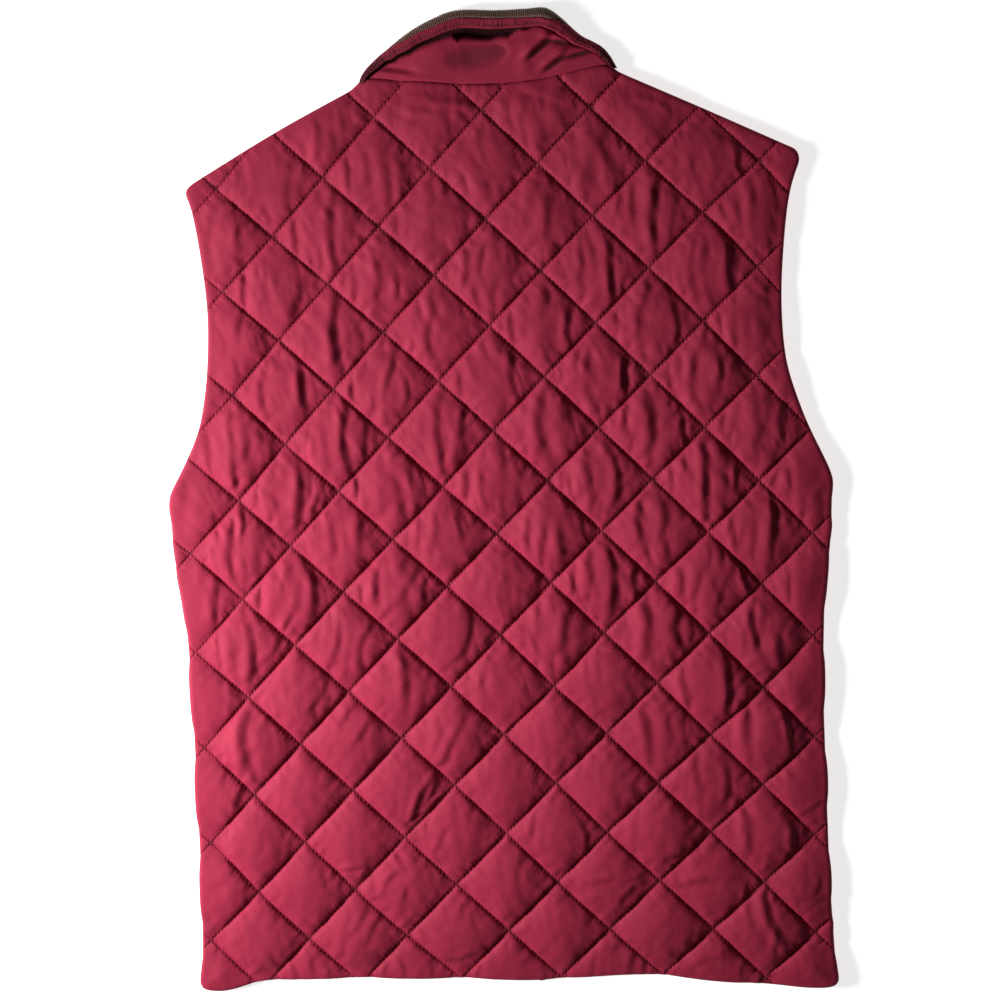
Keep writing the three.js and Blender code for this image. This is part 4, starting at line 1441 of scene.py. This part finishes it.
def edge_line(station, along):
    """Middle of the edge strip: round the roll, and then back over the stand."""
    radius = station["radius"] + COLLAR_WALL / 2 + EDGE_PROUD - EDGE_THICKNESS / 2
    first = station["end_angle"] + EDGE_GAP_ANGLE * USUAL_ROLL_RADIUS / station["radius"]
    first, last = np.radians(first), np.radians(np.maximum(first, 90))
    arc = radius * (last - first)
    path = along * (arc + station["overhang"])
    turn = np.minimum(first + path / radius, last)
    over = np.maximum(path - arc, 0)
    r = station["centre_r"] + radius * np.cos(turn) - over
    return r, station["centre_z"] + radius * np.sin(turn) - EDGE_DROOP * over


def rolled_cloth(columns, rows, line, half, rounding, share_of=lambda along: along):
    """Closed cloth along the collar, from a grid wrapped round its middle line.

    Returns the mesh and what its relief needs at each vertex: shares of the collar's length and
    width, side, outward direction, place, and how far it is from the rounded ends."""
    bm = bmesh.new()
    bmesh.ops.create_grid(bm, x_segments=columns, y_segments=rows, size=0.5)
    flat = places(bm.verts)
    share = np.clip(flat[:, 0] + 0.5, 0, 1)
    around = np.clip(flat[:, 1] + 0.5, 0, 1)
    upper = around > 0.5
    along = share_of(np.where(upper, 2 - 2 * around, 2 * around))
    station = collar_stations(share)
    r, z = line(station, along)
    step = 0.004
    r_after, z_after = line(station, np.clip(along + step, 0, 1))
    r_before, z_before = line(station, np.clip(along - step, 0, 1))
    length = np.hypot(r_after - r_before, z_after - z_before)
    normal_r, normal_z = -(z_after - z_before) / length, (r_after - r_before) / length
    ends = np.minimum(along, 1 - along) / rounding
    thick = half * np.sqrt(np.clip(1 - (1 - np.clip(ends, 0, 1)) ** 2, 0, 1))
    sign = np.where(upper, 1.0, -1.0)
    points = at_station(station, r + sign * normal_r * thick, z + sign * normal_z * thick)
    return bm, {
        "share": share,
        "along": along,
        "upper": upper,
        "outward": np.column_stack([station["direction"] * normal_r[:, None], normal_z]) * sign[:, None],
        "points": points,
        "body": np.clip(ends * RELIEF_GROWTH, 0, 1),
    }


def close_cloth(bm):
    """Welds the seam of a wrapped grid, closes its two ends and turns its faces outwards."""
    bmesh.ops.remove_doubles(bm, verts=bm.verts, dist=MERGE)
    bmesh.ops.holes_fill(bm, edges=open_edges(bm), sides=0)
    bmesh.ops.triangulate(bm, faces=[f for f in bm.faces if len(f.verts) > 4])
    bmesh.ops.recalc_face_normals(bm, faces=bm.faces)


def collar_noise(cloth, along_size, across_size, seed):
    """Soft noise over the collar's cloth, with a number of hills along it and across it."""
    return soft_noise(cloth["share"] * along_size, cloth["along"] * across_size, 1, seed)


class VEST_OT_collar(bpy.types.Operator):
    """Makes the collar at the back of the neck: stand, corduroy lining and edge strip"""

    bl_idname = "vest.collar"
    bl_label = "Collar"

    def execute(self, context):
        collar = context.scene.vest_collar
        length = SmoothLine(ROLL_LINE).length
        self.stand()
        self.lining(collar, length)
        self.edge(collar, length)
        return {"FINISHED"}

    def stand(self):
        """Plain stand, with its folds and dents."""
        bm, cloth = rolled_cloth(
            *STAND_GRID,
            lambda station, along: layer_line(station, 1, along),
            COLLAR_WALL / 2,
            STAND_ROUNDING,
        )
        points = cloth["points"]
        x, y = points[:, 0], points[:, 1]
        relief, tucked = np.zeros(len(x)), np.zeros(len(x))
        for cx, cy, angle, length, width, rise in STAND_FOLDS:
            along, aside = along_and_aside(x, y, cx, cy, angle)
            weight = np.exp(-((2 * along / (length * MM)) ** 4) - (aside / (width * MM)) ** 2)
            relief += rise * MM * weight
            if rise < 0 and width < TUCK_WIDTH:
                tucked = np.maximum(tucked, weight)
        cx, cy, angle, half_length, half_height, depth = SAG
        along, aside = along_and_aside(x, y, cx, cy, angle)
        along, aside = along / (half_length * MM), aside / (half_height * MM)
        lens = np.sqrt(np.clip(1 - along**2, 0.05, 1))
        sagged = np.exp(-(np.abs(aside / lens) ** SAG_SHARPNESS))
        sagged *= 1 - smoothstep(np.abs(along), *SAG_ENDS)
        relief -= depth * MM * smoothstep(along, *SAG_SLOPE) * sagged
        relief += STAND_SWELL * soft_noise(x, y, STAND_SWELL_SIZE, seed=51)
        # The folds fade towards the seam and before the slot
        station = collar_stations(cloth["share"])
        reach, slot_at = 2 * cloth["along"] * station["centre_r"], station["slot_at"]
        on_stand = smoothstep(reach, 0, SEAM_FADE) * (1 - smoothstep(reach, slot_at, slot_at + SLOT_FADE))
        points[:, 2] += np.where(cloth["upper"], relief * on_stand, 0)
        put(bm.verts, points)
        in_slot = smoothstep(reach, slot_at + SLOT_SHADE_START, slot_at + SLOT_SLOPE)
        shaded = np.maximum(TUCK_SHADE * smoothstep(tucked, *TUCK_RANGE), SAG_SHADE * sagged)
        paint(bm, "fold_shade", np.maximum(in_slot, shaded))
        close_cloth(bm)
        piece = make_piece("collar_stand", bm, "shell", "collar_shell")

    def lining(self, collar, length):
        """Corduroy lining, its wales running over the roll."""
        wales = round(length / collar.wale_pitch)
        bm, cloth = rolled_cloth(
            wales * COLUMNS_A_RIB,
            LINING_ROWS,
            lambda station, along: layer_line(station, 0, along),
            COLLAR_WALL / 2,
            LINING_ROUNDING,
            # Three rows in ten on the hidden stand, and the others on the roll
            share_of=lambda along: np.where(along < 0.3, along * 5 / 3, 0.5 + (along - 0.3) * 5 / 7),
        )
        lean = WALE_SWAY * collar_noise(cloth, 60, 3, seed=61)
        wave = np.abs(np.sin(math.pi * (cloth["share"] * wales + lean)))
        height = wave**WALE_FULLNESS
        worn = 1 + WALE_WEAR * collar_noise(cloth, 90, 9, seed=62)
        depth = collar.wale_depth * worn * (height - 1) * cloth["body"]
        swell = LINING_SWELL * collar_noise(cloth, 14, 2, seed=63) * cloth["body"]
        lift = np.where(cloth["upper"], 0, depth + swell)
        points = cloth["points"] + cloth["outward"] * lift[:, None]
        points[:, 2] = np.maximum(points[:, 2], 0)
        put(bm.verts, points)
        paint(bm, "wale_height", height)
        close_cloth(bm)
        piece = make_piece("corduroy_lining", bm, "corduroy", "collar_lining")

    def edge(self, collar, length):
        """Puckered edge strip, with its row of topstitching."""
        ribs = round(length / collar.rib_pitch)
        columns = ribs * COLUMNS_A_RIB
        bm, cloth = rolled_cloth(columns, EDGE_ROWS, edge_line, EDGE_THICKNESS / 2, EDGE_ROUNDING)
        uneven = 0.8 * collar_noise(cloth, 40, 1.6, seed=71)
        wave = np.cos(2 * math.pi * (cloth["share"] * ribs + uneven))
        strong = 0.8 + 0.7 * collar_noise(cloth, 45, 2, seed=72)
        seam = np.exp(-(((cloth["along"] - TOPSTITCH_AT) / TOPSTITCH_SEAM) ** 2))
        ruffle = collar.rib_depth * strong * (0.5 * wave - 0.2) * (1 - 0.5 * seam)
        swell = EDGE_SWELL * collar_noise(cloth, 18, 2, seed=73)
        relief = (ruffle - TOPSTITCH_SUNK * seam) * np.where(cloth["upper"], 1, UNDERSIDE_SHARE) + swell
        put(bm.verts, cloth["points"] + cloth["outward"] * (relief * cloth["body"])[:, None])
        # Painted shade: the grooves between the puckers and the topstitching are painted darker, the whole
        # strip a little, and both ends, which turn under and lie in their own shade, much more
        turned = 1 - smoothstep(cloth["share"], *LEFT_END) + smoothstep(cloth["share"], *RIGHT_END)
        gathered = 0.42 * strong * (0.5 - 0.5 * wave) + 0.1 + 0.3 * seam
        paint(bm, "fold_shade", np.clip(gathered + END_SHADE * turned, 0, 1))
        close_cloth(bm)
        piece = make_piece("collar_edge_strip", bm, "shell", "collar_edge")
        self.topstitching(length)

    def topstitching(self, length):
        """Row of stitches along the edge strip."""
        steps = round(length / TOPSTITCH_PITCH)
        station = collar_stations((np.arange(steps) + 0.5) / steps)
        r, z = edge_line(station, np.full(steps, TOPSTITCH_AT))
        middle = at_station(station, r, z + EDGE_THICKNESS / 2 - TOPSTITCH_SUNK / 2)
        stitch = stitch_mesh(TOPSTITCH_LENGTH, TOPSTITCH_WIDTH)
        bm = bmesh.new()
        sew(bm, stitch, middle, np.gradient(middle, axis=0))
        bpy.data.meshes.remove(stitch)
        return make_piece("edge_topstitching", bm, "thread")


# Stage


class VEST_OT_stage(bpy.types.Operator):
    """Lays the pale floor and sets the light and the camera"""

    bl_idname = "vest.stage"
    bl_label = "Stage"

    def execute(self, context):
        stage = context.scene.vest_stage
        self.floor(context, stage)
        self.light(context, stage)
        self.camera(context, stage)
        return {"FINISHED"}

    def floor(self, context, stage):
        """Plain pale floor just under the cloth, glowing a little so that shadows stay light."""
        bm = bmesh.new()
        bmesh.ops.create_grid(bm, x_segments=1, y_segments=1, size=FLOOR_HALF_WIDTH)
        bmesh.ops.translate(bm, vec=(0, 0, -FLOOR_DROP), verts=bm.verts)
        mesh = bpy.data.meshes.new("floor")
        bm.to_mesh(mesh)
        bm.free()
        mesh.materials.append(material_once("matt_white_board", matt_board, stage.floor_glow))
        floor = bpy.data.objects.new("floor", mesh)
        context.scene.collection.objects.link(floor)

    def light(self, context, stage):
        """Soft light from the left and an even fill."""
        lamp = bpy.data.lights.new("window_light", "AREA")
        lamp.shape = "RECTANGLE"
        lamp.size, lamp.size_y = KEY_SIZE, KEY_SIZE
        lamp.spread = KEY_SPREAD
        lamp.energy = stage.key_power
        lamp.color = KEY_COLOUR
        key = bpy.data.objects.new("window_light", lamp)
        key.location = KEY_PLACE
        key.rotation_euler = (Vector(KEY_AIM) - key.location).to_track_quat("-Z", "Y").to_euler()
        context.scene.collection.objects.link(key)
        world = bpy.data.worlds.new("studio")
        world.use_nodes = True
        background = world.node_tree.nodes["Background"]
        background.inputs["Color"].default_value = WHITE
        background.inputs["Strength"].default_value = stage.fill_strength
        context.scene.world = world
        context.scene.view_settings.view_transform = "Standard"

    def camera(self, context, stage):
        """Camera at the photograph's angle, high over the collar's side."""
        data = bpy.data.cameras.new("photo_camera")
        data.sensor_width = 36
        data.lens = stage.lens
        camera = bpy.data.objects.new("photo_camera", data)
        camera.location = CAMERA_PLACE
        right = Vector(CAMERA_RIGHT)
        back = right.cross(Vector(CAMERA_UP)).normalized()
        up = back.cross(right).normalized()
        turn = Matrix((right.normalized(), up, back)).transposed()
        camera.rotation_mode = "QUATERNION"
        camera.rotation_quaternion = turn.to_quaternion()
        context.scene.collection.objects.link(camera)
        context.scene.camera = camera


# Panel and registering


OPERATORS = (
    VEST_OT_stage,
    VEST_OT_fronts,
    VEST_OT_opening,
    VEST_OT_front_collar,
    VEST_OT_quilted_back,
    VEST_OT_quilting_stitches,
    VEST_OT_collar,
)
GROUPS = {
    "vest_quilting": VestQuilting,
    "vest_collar": VestCollar,
    "vest_colours": VestColours,
    "vest_stage": VestStage,
}


class VEST_PT_sidebar(bpy.types.Panel):
    """Lists the pieces of the vest and their sizes"""

    bl_idname = "VEST_PT_sidebar"
    bl_label = "Quilted vest"
    bl_space_type = "VIEW_3D"
    bl_region_type = "UI"
    bl_category = "Vest"

    def draw(self, context):
        for group in GROUPS:
            values = getattr(context.scene, group)
            box = self.layout.box()
            for name in values.bl_rna.properties.keys():
                if name not in {"rna_type", "name"}:
                    box.prop(values, name)
        for operator in OPERATORS:
            self.layout.operator(operator.bl_idname)


def register():
    """Registers the groups, the operators and the panel."""
    for name, group in GROUPS.items():
        bpy.utils.register_class(group)
        setattr(bpy.types.Scene, name, bpy.props.PointerProperty(type=group))
    for operator in OPERATORS:
        bpy.utils.register_class(operator)
    bpy.utils.register_class(VEST_PT_sidebar)


def unregister():
    """Removes what register added."""
    bpy.utils.unregister_class(VEST_PT_sidebar)
    for operator in reversed(OPERATORS):
        bpy.utils.unregister_class(operator)
    for name, group in GROUPS.items():
        delattr(bpy.types.Scene, name)
        bpy.utils.unregister_class(group)


def main():
    """Builds the vest."""
    register()
    for operator in OPERATORS:
        group, name = operator.bl_idname.split(".")
        getattr(getattr(bpy.ops, group), name)()


if __name__ == "__main__":
    main()
